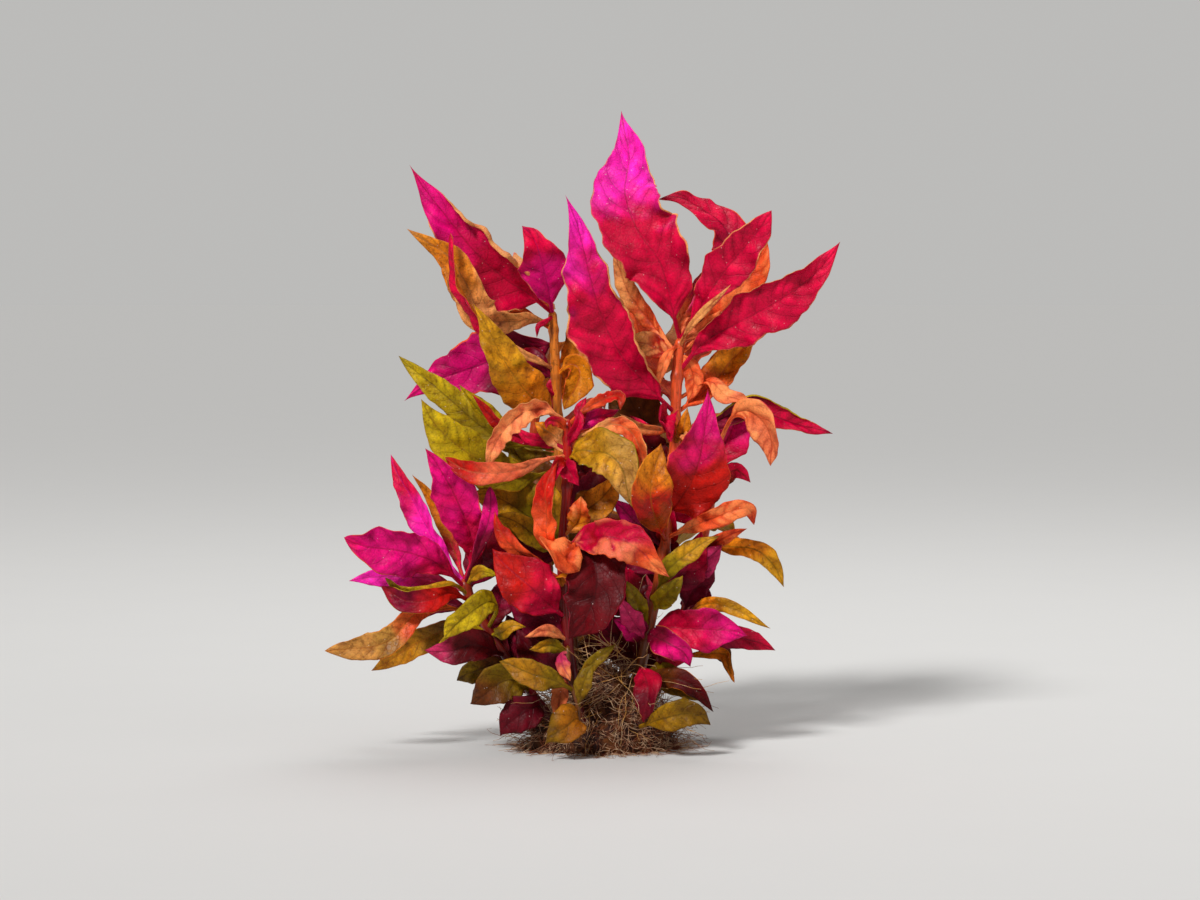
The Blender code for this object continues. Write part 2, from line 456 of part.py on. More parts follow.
leaf("left_shoot_leaf_18", "low_left_stem", 50,
     [(-36, -9, 62), (-33, -10, 70), (-32.3, -10, 79.5)],
     2.6, belly=0.66, top=("wine", "magenta"), under="rose", fused=True)

# Foot of the bunch, left
leaf("low_left_leaf_1", "low_left_stem", 18,
     [(-26, -14, 21), (-32, -15, 19), (-38.2, -14, 12.8)],
     6.6, belly=0.48, top=("olive", "brown"), under="brown", fused=True)
leaf("low_left_leaf_2", "front_runner", 20,
     [(-14, -23, 21), (-21, -24, 23), (-30, -22, 27.4)],
     4.5, belly=0.5, top=("olive", "ochre"), under="olive")
leaf("low_left_leaf_3", "front_runner", 22,
     [(-11, -22, 20), (-12.3, -25, 14), (-13, -25, 7.3)],
     2.7, belly=0.5, top=("salmon", "salmon"), under="salmon", fused=True)
leaf("low_left_leaf_4", "front_runner", 31,
     [(-11.5, -19, 28.5), (-11, -22, 25), (-8.5, -24, 21)],
     2.2, belly=0.5, top=("rose", "salmon"), under="rose", fused=True)
leaf("low_left_leaf_5", "front_runner", 9,
     [(-7, -25, 9.5), (-11, -28, 6.5), (-17, -28, 3)],
     5.4, fold=(20, 10, 10), belly=0.45, top=("ochre", "olive"), under="olive")
leaf("low_left_leaf_6", "front_runner", 15,
     [(-5, -22, 20), (-2.5, -22, 26)],
     2.8, belly=0.5, top=("olive", "olive"), under="olive", fused=True)
leaf("low_left_leaf_7", "front_runner", 20,
     [(-2.5, -19, 26), (5, -20, 31.5)],
     2.1, belly=0.5, top=("ochre", "olive"), under="olive", fused=True)
leaf("low_left_leaf_8", "low_left_stem", 13,
     [(-19, -13, 13), (-25, -15, 10), (-31, -14, 5)],
     5.4, belly=0.48, top=("wine", "wine"), under="dark_red", fused=True)
leaf("low_left_leaf_9", "low_left_stem", 26,
     [(-30, -1, 30), (-34, 1, 35), (-37, 2, 43)],
     7.6, belly=0.5, top=("dark_red", "wine"), under="wine", fused=True)
leaf("low_left_leaf_10", "low_left_stem", 16,
     [(-21, 0, 20), (-28, 2, 23), (-36, 3, 25)],
     7.2, belly=0.5, top=("brown", "wine"), under="wine", fused=True)
leaf("low_left_leaf_11", "low_left_stem", 21,
     [(-22, -2, 26), (-25, 0, 33), (-27, 2, 41)],
     5.4, belly=0.5, top=("dark_red", "wine"), under="wine", fused=True)
leaf("low_left_leaf_12", "low_left_stem", 36,
     [(-31, -5, 41), (-29.5, -5, 46), (-28, -4, 52)],
     4.4, belly=0.5, top=("dark_red", "wine"), under="dark_red", fused=True)

# Foot of the bunch, right
leaf("low_right_leaf_1", "right_stem", 35,
     [(16, -13, 34.3), (20.5, -18, 32), (25, -19, 29.3), (28, -18, 25.4)],
     4.7, fold=(20, 20, 15), belly=0.5, top=("wine", "magenta"), under="amber")
leaf("low_right_leaf_2", "right_stem", 33,
     [(19, -8, 36.5), (27, -11, 36.5), (36, -12, 36), (44.3, -11, 36)],
     6.8, belly=0.48, top=("crimson", "magenta"), under="rose")
leaf("low_right_leaf_3", "right_stem", 29,
     [(17, -9, 30.5), (22, -11, 29.5), (28, -10, 27.5)],
     4.6, belly=0.5, top=("dark_red", "crimson"), under="dark_red", fused=True)
leaf("low_right_leaf_4", "far_right_stem", 35,
     [(33, 1, 35), (43, 2, 33.5), (53, 3, 30.5)],
     3.8, belly=0.5, top=("wine", "crimson"), under="wine", fused=True)
leaf("low_right_leaf_5", "far_right_stem", 40,
     [(33, -9, 44), (42, -13, 41.5), (51, -12, 36)],
     2.1, belly=0.5, top=("amber", "ochre"), under="ochre", fused=True)
leaf("low_right_leaf_6", "far_right_stem", 27,
     [(36, -1, 29), (38.3, -3, 26), (39.8, -3, 20)],
     1.8, belly=0.6, top=("amber", "amber"), under="ochre", fused=True)
leaf("low_right_leaf_7", "right_stem", 25,
     [(12.5, -13, 24), (14.2, -20, 20), (14, -22, 14.5), (12, -21, 8.4)],
     4.2, belly=0.52, petiole=0.2, top=("crimson", "wine"), under="crimson")
leaf("low_right_leaf_8", "root_mass", 6,
     [(12, -17, 7), (19, -24, 9.5), (27, -25, 11), (34, -23, 8.5)],
     4.5, fold=(20, 12, 10), belly=0.5, top=("yellow", "olive"), under="olive")
leaf("low_right_leaf_9", "right_stem", 19,
     [(17, -13, 21.5), (24, -18, 21), (29.5, -19, 17.5), (33.5, -18, 11)],
     3.2, roll=(0, 10, 0), belly=0.5, top=("brown", "dark_red"), under="amber", fused=True)
leaf("low_right_leaf_10", "right_stem", 37,
     [(11, -12, 44), (8.3, -14, 51)],
     2.9, belly=0.5, top=("olive", "olive"), under="ochre", fused=True)
leaf("low_right_leaf_11", "right_stem", 33,
     [(9, -15, 40), (5.5, -17, 46)],
     3.2, belly=0.5, top=("rose", "rose"), under="wine", fused=True)
leaf("low_right_leaf_12", "right_stem", 23,
     [(18, -14, 23), (24, -18, 19), (31, -19, 13.5)],
     3.8, belly=0.5, top=("olive", "olive"), under="olive", fused=True)
leaf("low_right_leaf_13", "right_stem", 33,
     [(11.5, -13, 35), (8, -16, 37), (4.5, -17, 39.5)],
     4.0, belly=0.5, top=("wine", "magenta"), under="wine", fused=True)

# Dark leaves inside the bunch
leaf("inner_leaf_1", "left_stem", 70, [(-6, 7, 76), (0, 9, 84), (4, 9, 93)], 7.2,
     top=("wine", "dark_red"), under="wine", fused=True)
leaf("inner_leaf_2", "right_stem", 70, [(15, 2, 77), (9, 4, 84), (4, 4, 88)], 6.0,
     top=("amber", "brown"), under="brown", fused=True)
leaf("inner_leaf_3", "left_stem", 45, [(-4, 5, 50), (2, 7, 57), (5, 7, 65)], 7.5,
     top=("dark_red", "wine"), under="wine", fused=True)
leaf("inner_leaf_4", "right_stem", 52, [(13, 1, 57), (7, 3, 63), (2, 4, 71)], 7.0,
     top=("wine", "crimson"), under="wine", fused=True)
leaf("inner_leaf_5", "left_stem", 30, [(-14, 6, 35), (-21, 9, 40), (-28, 10, 43)], 7.0,
     top=("brown", "wine"), under="brown", fused=True)
leaf("inner_leaf_6", "far_right_stem", 47, [(22, 7, 53), (17, 10, 60), (14, 11, 69)], 7.4,
     top=("wine", "dark_red"), under="dark_red", fused=True)
leaf("inner_leaf_7", "far_right_stem", 24, [(13, 7, 28), (7, 9, 33), (2, 10, 41)], 7.0,
     top=("dark_red", "wine"), under="wine", fused=True)
leaf("inner_leaf_8", "far_right_stem", 66, [(26, 6, 72), (23, 9, 79), (22, 10, 89)], 7.4,
     top=("crimson", "dark_red"), under="wine", fused=True)
leaf("inner_leaf_9", "left_stem", 56, [(-17, 8, 60), (-24, 11, 65), (-30, 12, 72)], 7.2,
     top=("wine", "crimson"), under="wine", fused=True)
leaf("inner_leaf_10", "left_stem", 25, [(-13, 9, 29), (-19, 12, 28), (-27, 13, 22)], 6.0,
     top=("olive", "brown"), under="brown", fused=True)
leaf("inner_leaf_11", "right_stem", 26, [(8, 0, 31), (2, 2, 36), (-3, 3, 40)], 6.4,
     top=("dark_red", "wine"), under="wine", fused=True)
leaf("inner_leaf_12", "far_right_stem", 37, [(28, 8, 41), (29.5, 9, 47), (29.5, 9, 54)], 4.6,
     top=("wine", "wine"), under="wine", fused=True)
leaf("inner_leaf_13", "left_stem", 28, [(-2, 6, 31), (3, 7, 33), (8, 7, 36)], 5.5,
     top=("dark_red", "wine"), under="wine", fused=True)
leaf("inner_leaf_14", "right_stem", 40, [(11, 0, 44), (5, 0, 50), (1, -1, 58)], 7.4,
     top=("dark_red", "crimson"), under="wine", fused=True)
leaf("inner_leaf_15", "left_stem", 35, [(-14, 0, 39), (-20, -2, 46), (-26, -4, 55)], 7.0,
     top=("dark_red", "crimson"), under="dark_red", fused=True)
leaf("inner_leaf_16", "front_stem", 20, [(-13, -10, 23), (-19, -9, 28), (-26, -8, 36)], 6.0,
     top=("wine", "dark_red"), under="wine", fused=True)
leaf("inner_leaf_17", "right_stem", 73, [(26, 0, 79), (32, 0, 86), (38, 0, 95)], 6.6,
     top=("crimson", "crimson"), under="red", fused=True)
leaf("inner_leaf_18", "right_stem", 46, [(22, -4, 51), (27, -4, 57), (31, -4, 66)], 6.2,
     top=("wine", "crimson"), under="wine", fused=True)
leaf("inner_leaf_19", "left_stem", 76, [(-16, 0, 80), (-22, 0, 85), (-28, 1, 92)], 6.2,
     top=("brown", "olive"), under="brown", fused=True)
leaf("inner_leaf_20", "front_stem", 66, [(-5, -9, 71), (1, -8, 76), (6, -8, 83)], 5.6,
     top=("brown", "amber"), under="brown", fused=True)
leaf("inner_leaf_21", "back_left_stem", 14, [(-8, 6, 20), (-5, 4, 26), (-3, 3, 33)], 5.4,
     top=("brown", "dark_red"), under="brown", fused=True)
leaf("inner_leaf_22", "right_stem", 61, [(14, -4, 65), (9, -6, 70), (3.5, -7, 76)], 3.6,
     top=("wine", "magenta"), under="wine", fused=True)

# Crown leaves that lean to the back
leaf("rear_crown_leaf_1", "right_stem", 121, [(25, 8, 130), (23.5, 18, 142), (20, 26, 158)], 8.6,
     facing=(-0.6, 0.7, 0.3), top=("crimson", "pink"), under="peach")
leaf("rear_crown_leaf_2", "right_stem", 112, [(28, 7, 119), (34, 16, 128), (38, 23, 141)], 7.8,
     facing=(0.6, 0.7, 0.3), top=("crimson", "magenta"), under="coral")
leaf("rear_crown_leaf_3", "left_stem", 130, [(-16.5, 9, 136), (-21, 18, 143), (-27, 25, 150)], 7.6,
     facing=(-0.6, 0.7, 0.3), top=("magenta", "pink"), under="peach")
leaf("rear_crown_leaf_4", "right_stem", 103, [(18, 7, 111), (12, 16, 122), (8, 23, 137)], 8.4,
     facing=(-0.6, 0.7, 0.3), top=("crimson", "magenta"), under="coral")
leaf("rear_crown_leaf_5", "left_stem", 112, [(-10, 10, 118), (-7.5, 19, 127), (-8, 26, 138)], 7.0,
     facing=(0.6, 0.7, 0.3), top=("crimson", "pink"), under="peach", fused=True)


def pair_up_back_stem(stem, heights, outward):
    """The leaves of a stem at the back, in opposite pairs that turn by a quarter from node to node.

    The ones that would point into the bunch are left out. Outward is -1 on the left, 1 on the right.
    """
    number = 0
    for k, at in enumerate(heights):
        share = at / 110
        spread = 80 - 42 * share
        turns = (spread * outward, -spread * 0.8 * outward) if k % 2 == 0 else (14 * (-1) ** (k // 2),)
        for turn in turns:
            number += 1
            way = Vector((math.sin(math.radians(turn)), math.cos(math.radians(turn)), 0))
            reach = 37 + 5 * math.sin(1.7 * k + turn)
            foot = stem_point(stem, at)
            path = [tuple(foot + way * reach * out + Vector((0, 0, reach * (lift + climb * share))))
                    for out, lift, climb in ((0.3, 0.12, 0.22), (0.62, 0.06, 0.62), (0.92, -0.3, 1.2))]
            side = Vector((outward * (1 if abs(turn) < 20 else 0), 0, 0))
            half = 7.6 + 1.2 * math.sin(2.3 * k + turn)
            low, high = BACK_COLOURS[k % len(BACK_COLOURS)]
            leaf(stem.replace("stem", "leaf_") + str(number), stem, at, path, half,
                 facing=tuple(way * 0.8 + side + Vector((0, 0, 0.6))), belly=0.48, top=(low, high),
                 under=BACK_UNDERSIDES[k % len(BACK_UNDERSIDES)],
                 fused=turn * outward < 0 or k == 0, seen=False)


BACK_COLOURS = [("brown", "olive"), ("wine", "crimson"), ("olive", "amber"), ("red", "coral"),
                ("crimson", "red"), ("amber", "coral"), ("magenta", "pink")]
BACK_UNDERSIDES = ["brown", "wine", "ochre", "coral", "coral", "amber", "peach"]


def linear(code):
    """The linear RGBA colour of an sRGB hex code."""
    parts = [int(code[i:i + 2], 16) / 255 for i in (0, 2, 4)]
    return [c / 12.92 if c <= 0.04045 else ((c + 0.055) / 1.055) ** 2.4 for c in parts] + [1.0]


def finish_material(colour, roughness=0.45):
    """The Principled material of one of the plant's colours."""
    material = bpy.data.materials.get(colour)
    if material is None:
        material = bpy.data.materials.new(colour)
        material.use_nodes = True
        shader = material.node_tree.nodes["Principled BSDF"]
        shader.inputs["Base Color"].default_value = linear(COLOURS[colour])
        shader.inputs["Roughness"].default_value = roughness
        shader.inputs["Metallic"].default_value = 0.0
    return material


def curve_point(points, t):
    """The point at t, from 0 to 1, of a smooth curve through the points."""
    last = len(points) - 1
    place = min(max(t, 0.0), 1.0) * last
    i = min(int(place), last - 1)
    s = place - i
    p1, p2 = points[i], points[i + 1]
    p0 = points[i - 1] if i > 0 else p1 * 2 - p2
    p3 = points[i + 2] if i + 2 <= last else p2 * 2 - p1
    return 0.5 * (2 * p1 + (p2 - p0) * s + (2 * p0 - 5 * p1 + 4 * p2 - p3) * s ** 2
                  + (3 * p1 - p0 - 3 * p2 + p3) * s ** 3)


def even_curve(points, samples):
    """Points at even steps of length along the smooth curve through the points."""
    fine = [curve_point(points, i / (samples * 4)) for i in range(samples * 4 + 1)]
    run = [0.0]
    for a, b in zip(fine, fine[1:]):
        run.append(run[-1] + (b - a).length)
    even, j = [], 0
    for i in range(samples + 1):
        goal = run[-1] * i / samples
        while j < len(run) - 2 and run[j + 1] < goal:
            j += 1
        share = (goal - run[j]) / max(run[j + 1] - run[j], 1e-9)
        even.append(fine[j].lerp(fine[j + 1], min(max(share, 0.0), 1.0)))
    return even, run[-1]


def stem_point(name, height):
    """The point of a stem's axis at a height."""
    points = [Vector(p) for p in STEMS[name].path]
    line, _ = even_curve(points, PATH_SAMPLES)
    for a, b in zip(line, line[1:]):
        if a.z <= height <= b.z:
            return a.lerp(b, (height - a.z) / (b.z - a.z))
    return line[-1]


def leaf_base(leaf, start):
    """Where a leaf begins: a little off its stem's side, or inside the stem when it is fused to it."""
    axis = stem_point(leaf.stem, leaf.at)
    if leaf.fused:
        return axis
    way = Vector(leaf.path[0]) - axis
    way.z *= FIRST_CLIMB
    return axis + way.normalized() * (STEMS[leaf.stem].radius + start)


def blend3(values, t):
    """A value between the three given for base, middle and tip."""
    a, b, c = values
    return a + (b - a) * t * 2 if t < 0.5 else b + (c - b) * (t - 0.5) * 2


def leaf_frames(leaf, start):
    """Even points of the midrib from its base, with the tangent and the upper normal at each."""
    base = [leaf_base(leaf, start)] if leaf.stem in STEMS else []
    line, length = even_curve(base + [Vector(p) for p in leaf.path], PATH_SAMPLES)
    ahead = [(line[min(i + 1, PATH_SAMPLES)] - line[max(i - 1, 0)]).normalized()
             for i in range(PATH_SAMPLES + 1)]
    middle = PATH_SAMPLES // 2
    up = [None] * (PATH_SAMPLES + 1)
    facing = Vector(leaf.facing)
    up[middle] = (facing - ahead[middle] * facing.dot(ahead[middle])).normalized()
    for step in (1, -1):
        i = middle
        while 0 <= i + step <= PATH_SAMPLES:
            turn = ahead[i].rotation_difference(ahead[i + step])
            up[i + step] = turn @ up[i]
            i += step
    return line, ahead, up, length


def half_width(leaf, t):
    """The blade's half width at t: a thin petiole, then a lance that is drawn out to its tip."""
    if t <= leaf.petiole:
        return PETIOLE_HALF_WIDTH
    s = (t - leaf.petiole) / (1 - leaf.petiole)
    rise, fall = LANCE * leaf.belly, LANCE * (1 - leaf.belly)
    peak = leaf.belly ** rise * (1 - leaf.belly) ** fall
    lance = s ** rise * max(1 - s, 0.0) ** fall / peak
    return max(leaf.half * lance, PETIOLE_HALF_WIDTH * (1 - s) ** 0.5, TIP_HALF_WIDTH)


def leaf_point(leaf, frames, t, u, sway):
    """The point of the leaf's middle surface at t along it and u across it, from -1 to 1."""
    line, ahead, up, _ = frames
    place = t * PATH_SAMPLES
    i = min(int(place), PATH_SAMPLES - 1)
    share = place - i
    centre = line[i].lerp(line[i + 1], share)
    forward = ahead[i].lerp(ahead[i + 1], share).normalized()
    normal = up[i].lerp(up[i + 1], share)
    normal = (normal - forward * normal.dot(forward)).normalized()
    side = forward.cross(normal)
    roll = math.radians(blend3(leaf.roll, t))
    side, normal = (side * math.cos(roll) + normal * math.sin(roll),
                    normal * math.cos(roll) - side * math.sin(roll))
    width = half_width(leaf, t)
    blade = min(max((width - PETIOLE_HALF_WIDTH) / (BENT_SHARE * leaf.half), 0.0), 1.0)
    curl = math.radians(leaf.edge[1] if u > 0 else leaf.edge[0]) * blade
    fold = math.radians(blend3(leaf.fold, t)) * blade
    across = rise = 0.0
    for k in range(SECTION_SAMPLES):
        v = abs(u) * (k + 0.5) / SECTION_SAMPLES
        angle = fold + curl * v ** 3
        across += math.cos(angle) * abs(u) / SECTION_SAMPLES
        rise += math.sin(angle) * abs(u) / SECTION_SAMPLES
    moved = sway * math.sin(math.pi / 2 * min(t / SWAY_REACH, 1.0))
    return centre + (side * math.copysign(across, u) + normal * rise) * width + Vector((0, moved, 0))


def leaf_grid(leaf, frames, sway, along, across):
    """The leaf's middle surface: a grid bent to the leaf's form, in millimetres."""
    grid = bmesh.new()
    bmesh.ops.create_grid(grid, x_segments=along, y_segments=across, size=1.0)
    for vert in grid.verts:
        vert.co = leaf_point(leaf, frames, (vert.co.x + 1) / 2, vert.co.y, sway)
    return grid


def thick_tree(grid, thickness):
    """A search tree of the grid's surface with a thickness."""
    solid = grid.copy()
    bmesh.ops.recalc_face_normals(solid, faces=solid.faces)
    for vert in solid.verts:
        vert.normal_update()
    flat = {vert: (vert.co.copy(), vert.normal.copy()) for vert in solid.verts}
    for vert, (co, normal) in flat.items():
        vert.co = co - normal * (thickness / 2)
    bmesh.ops.solidify(solid, geom=solid.faces[:], thickness=-thickness)
    tree = BVHTree.FromBMesh(solid)
    low = Vector([min(v.co[k] for v in solid.verts) for k in range(3)])
    high = Vector([max(v.co[k] for v in solid.verts) for k in range(3)])
    solid.free()
    return tree, low, high


def clear(mine, others):
    """Whether a tree touches none of the others."""
    tree, low, high = mine
    for other, other_low, other_high in others:
        apart = any(low[k] > other_high[k] or high[k] < other_low[k] for k in range(3))
        if not apart and tree.overlap(other):
            return False
    return True


def tube(name, points, radius, collection):
    """A closed round tube along a smooth line, as a mesh object."""
    points = [Vector(p) for p in points]
    length = sum((b - a).length for a, b in zip(points, points[1:]))
    line, _ = even_curve(points, max(4, round(length / STEM_FACE)))
    curve = bpy.data.curves.new(name, "CURVE")
    curve.dimensions = "3D"
    curve.bevel_depth = radius * MM
    curve.bevel_resolution = STEM_SIDES // 2 - 2
    curve.use_fill_caps = True
    spline = curve.splines.new("POLY")
    spline.points.add(len(line) - 1)
    for place, point in zip(spline.points, line):
        place.co = (point * MM).to_4d()
    curve_object = bpy.data.objects.new(name + "_curve", curve)
    collection.objects.link(curve_object)
    bpy.context.view_layer.update()
    depsgraph = bpy.context.evaluated_depsgraph_get()
    mesh = bpy.data.meshes.new_from_object(curve_object.evaluated_get(depsgraph))
    bpy.data.objects.remove(curve_object)
    body = bmesh.new()
    body.from_mesh(mesh)
    bmesh.ops.remove_doubles(body, verts=body.verts, dist=1e-5)
    bmesh.ops.recalc_face_normals(body, faces=body.faces)
    body.to_mesh(mesh)
    body.free()
    mesh.name = name
    result = bpy.data.objects.new(name, mesh)
    collection.objects.link(result)
    return result


def tree_of(mesh_object):
    """A search tree of an object's surface in millimetres, with its box."""
    body = bmesh.new()
    body.from_mesh(mesh_object.data)
    bmesh.ops.scale(body, vec=(1 / MM, 1 / MM, 1 / MM), verts=body.verts)
    tree = BVHTree.FromBMesh(body)
    low = Vector([min(v.co[k] for v in body.verts) for k in range(3)])
    high = Vector([max(v.co[k] for v in body.verts) for k in range(3)])
    body.free()
    return tree, low, high


def leaf_counts(leaf, length):
    """How many faces a leaf has along and across."""
    along = round(length / LEAF_FACE) + (0 if leaf.fused else 1)
    across = 1 if leaf.half < RIBBON_LEAF else 2 if leaf.fused or leaf.half < BROAD_LEAF else 4
    least = 4 if not leaf.fused else 3 if length > SHORT_LEAF else 2
    return max(least, along), across


def leaf_tree(leaf, frames, sway):
    """A search tree of a leaf with half the least gap round it."""
    grid = leaf_grid(leaf, frames, sway, *leaf_counts(leaf, frames[3]))
    tree = thick_tree(grid, BLADE_THICKNESS + GAP)
    grid.free()
    return tree


def clear_start(leaf, stem_trees):
    """The least distance off its stem at which a leaf clears it."""
    if leaf.fused or leaf.stem not in stem_trees:
        return PETIOLE_STARTS[0]
    for start in PETIOLE_STARTS:
        if clear(leaf_tree(leaf, leaf_frames(leaf, start), 0.0), [stem_trees[leaf.stem]]):
            return start
    return PETIOLE_STARTS[-1]


def settled_leaves(stem_trees, root_tree):
    """Each leaf's start off its stem, and how far it sways forward or back to lie clear of all others."""
    places, placed, stuck = {}, [], []
    sways = [0.0]
    while sways[-1] > -MOST_SWAY:
        sways += [abs(sways[-1]) + SWAY_STEP, -abs(sways[-1]) - SWAY_STEP]
    for leaf in LEAVES:
        start = clear_start(leaf, stem_trees)
        frames = leaf_frames(leaf, start)
        others = [tree for name, tree in stem_trees.items() if not (leaf.fused and name == leaf.stem)]
        others.append(root_tree)
        others += [tree for other, tree in placed
                   if not (leaf.fused and other.fused and other.stem == leaf.stem)]
        for sway in sways:
            mine = leaf_tree(leaf, frames, sway)
            if clear(mine, others):
                places[leaf.name] = (start, sway)
                placed.append((leaf, mine))
                break
        else:
            stuck.append(leaf.name)
    if stuck:
        raise ValueError("no clear place for " + ", ".join(stuck))
    return places


def build_leaf(leaf, place, collection, stems):
    """A leaf as a thick blade, its own object or joined to the stem that it grows from."""
    start, sway = place
    frames = leaf_frames(leaf, start)
    base = frames[0][0]
    grid = leaf_grid(leaf, frames, sway, *leaf_counts(leaf, frames[3]))
    for vert in grid.verts:
        vert.co = (vert.co - base) * MM
    mesh = bpy.data.meshes.new(leaf.name)
    grid.to_mesh(mesh)
    grid.free()
    mesh.shade_smooth()
    mesh.materials.append(finish_material(leaf.top[1]))
    blade = bpy.data.objects.new(leaf.name, mesh)
    collection.objects.link(blade)
    blade.parent = stems[leaf.stem]
    blade.location = base * MM - stems[leaf.stem].location
    thick = blade.modifiers.new("Blade thickness", "SOLIDIFY")
    thick.thickness = BLADE_THICKNESS * MM
    thick.offset = 0.0
    if leaf.fused:
        blade.hide_render = True
        blade.display_type = "WIRE"
        join = stems[leaf.stem].modifiers.new("Join " + leaf.name, "BOOLEAN")
        join.operation = "UNION"
        join.object = blade


def build_root_mass(collection, cutters):
    """The clump of roots: a lumpy mound cut off flat, with a socket round each stem's foot."""
    body = bmesh.new()
    bmesh.ops.create_uvsphere(body, u_segments=14, v_segments=8, radius=1.0)
    for vert in body.verts:
        x, y, z = vert.co
        lump = 1 + ROOT_LUMP * (math.sin(5 * x + 2 * z) * math.cos(4 * y - 1) + math.sin(7 * y + 3 * x))
        height = ROOT_HEIGHT + ROOT_CREST * max(0.0, 1 - 2 * (x * x + y * y))
        vert.co = Vector((x * ROOT_RADIUS_X, y * ROOT_RADIUS_Y, z * height)) * lump * MM
    cut = bmesh.ops.bisect_plane(body, geom=body.verts[:] + body.edges[:] + body.faces[:], dist=1e-6,
                                 plane_co=(0, 0, 0), plane_no=(0, 0, -1), clear_outer=True)
    rim = [e for e in cut["geom_cut"] if isinstance(e, bmesh.types.BMEdge)]
    bmesh.ops.contextual_create(body, geom=rim)
    bmesh.ops.recalc_face_normals(body, faces=body.faces)
    mesh = bpy.data.meshes.new("root_mass")
    body.to_mesh(mesh)
    body.free()
    mesh.materials.append(finish_material("root", 0.8))
    mound = bpy.data.objects.new("root_mass", mesh)
    collection.objects.link(mound)
    tree = tree_of(mound)
    for name, stem in STEMS.items():
        foot = Vector(stem.path[0])
        if (foot.x / ROOT_RADIUS_X) ** 2 + (foot.y / ROOT_RADIUS_Y) ** 2 > 1:
            continue
        path = [foot - Vector((0, 0, GAP))] + stem.path[1:]
        socket = tube(name + "_socket", path, stem.radius + GAP, cutters)
        socket.hide_render = True
        socket.display_type = "WIRE"
        drill = mound.modifiers.new("Socket of " + name, "BOOLEAN")
        drill.operation = "DIFFERENCE"
        drill.object = socket
    return mound, tree


def main():
    """Build the whole bunch."""
    for old in list(bpy.data.objects):
        bpy.data.objects.remove(old)
    collection = bpy.data.collections.new("alternanthera_reineckii")
    cutters = bpy.data.collections.new("joined_leaves_and_sockets")
    bpy.context.scene.collection.children.link(collection)
    bpy.context.scene.collection.children.link(cutters)

    pair_up_back_stem("back_left_stem", range(25, 104, 14), -1)
    pair_up_back_stem("back_right_stem", range(22, 112, 14), 1)
    mound, root_tree = build_root_mass(collection, cutters)
    carriers, stem_trees = {"root_mass": mound}, {}
    for name, stem in STEMS.items():
        margin = tube(name + "_margin", stem.path, stem.radius + GAP, cutters)
        stem_trees[name] = tree_of(margin)
        bpy.data.objects.remove(margin)
        stalk = tube(name, stem.path, stem.radius, collection)
        stalk.data.materials.append(finish_material(stem.colour, 0.4))
        stalk.data.shade_smooth()
        carriers[name] = stalk

    places = settled_leaves(stem_trees, root_tree)
    for leaf in LEAVES:
        build_leaf(leaf, places[leaf.name], cutters if leaf.fused else collection, carriers)


main()
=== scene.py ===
import math
from collections import namedtuple

import bmesh
import bpy
import numpy as np
from bpy.props import FloatProperty, FloatVectorProperty, IntProperty, PointerProperty
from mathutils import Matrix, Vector


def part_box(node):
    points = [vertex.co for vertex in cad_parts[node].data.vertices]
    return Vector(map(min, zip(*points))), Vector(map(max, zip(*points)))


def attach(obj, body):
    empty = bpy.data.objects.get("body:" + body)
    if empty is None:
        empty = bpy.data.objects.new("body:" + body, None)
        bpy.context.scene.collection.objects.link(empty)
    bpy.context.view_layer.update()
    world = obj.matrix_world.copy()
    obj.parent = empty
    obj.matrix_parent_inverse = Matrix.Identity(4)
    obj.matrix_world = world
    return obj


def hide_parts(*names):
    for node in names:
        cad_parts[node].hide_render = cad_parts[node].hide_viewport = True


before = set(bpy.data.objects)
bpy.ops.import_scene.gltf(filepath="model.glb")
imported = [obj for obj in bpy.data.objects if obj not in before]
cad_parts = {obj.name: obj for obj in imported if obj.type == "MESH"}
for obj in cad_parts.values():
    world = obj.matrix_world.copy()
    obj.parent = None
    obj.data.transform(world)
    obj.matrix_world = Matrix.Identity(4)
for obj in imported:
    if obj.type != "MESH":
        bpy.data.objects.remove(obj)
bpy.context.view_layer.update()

bl_info = {
    "name": "Alternanthera Bunch",
    "version": (1, 0, 0),
    "blender": (4, 5, 0),
    "location": "View3D > Sidebar > Plant",
    "description": "Grows the leaves, stems and roots of an Alternanthera reineckii bunch on its solids",
    "category": "Add Mesh",
}

# Lengths in the tables and values below are millimetres, and MM turns them to metres.
MM = 0.001
FRONT = (0, -1, 0)
# The eye's distance, the height that it looks at, and its look down from level
EYE_DISTANCE = 1000.0
EYE_HEIGHT = 90.0
EYE_TILT = math.radians(3)
# The steps that a curve's length is measured in
PATH_SAMPLES = 64
# A petiole's half width in the blade's outline, and the radius that rounds its section
PETIOLE_HALF_WIDTH = 0.65
PETIOLE_RADIUS = 0.6
# The power that draws a blade's outline out to a lance at both ends
LANCE = 2.3
# The parts that a blade's section is summed from, from its midrib to its margin
SECTION_PARTS = 10
# Each leaf's own random choices are seeded with this and its place in the list of leaves
FIRST_SEED = 1000
# A blade's creases: wavelength, height, and the height that crumpling adds to the finer ones
CREASES = ((15, 1.0, 0.0), (9, 0.62, 0.3), (5.5, 0.34, 0.7), (3.4, 0.17, 1.1))
# The length of a margin's waves, and the share of its half width that a whole blade waves by
WAVE_LENGTH = 22
BROAD_WAVE = 0.06
# How far the side veins run forward by the margin, as a share of the half width
VEIN_SLANT = 0.95
# The groove over the midrib: its depth and reach, and the reach of the rib below
GROOVE_DEPTH = 0.16
GROOVE_REACH = 0.5
RIB_REACH = 0.45
# The share of its length that a leaf takes to sway, where its tip's hook starts and how long it is
SWAY_SHARE = 0.6
HOOK_START = 0.78
HOOK_SHARE = 0.22
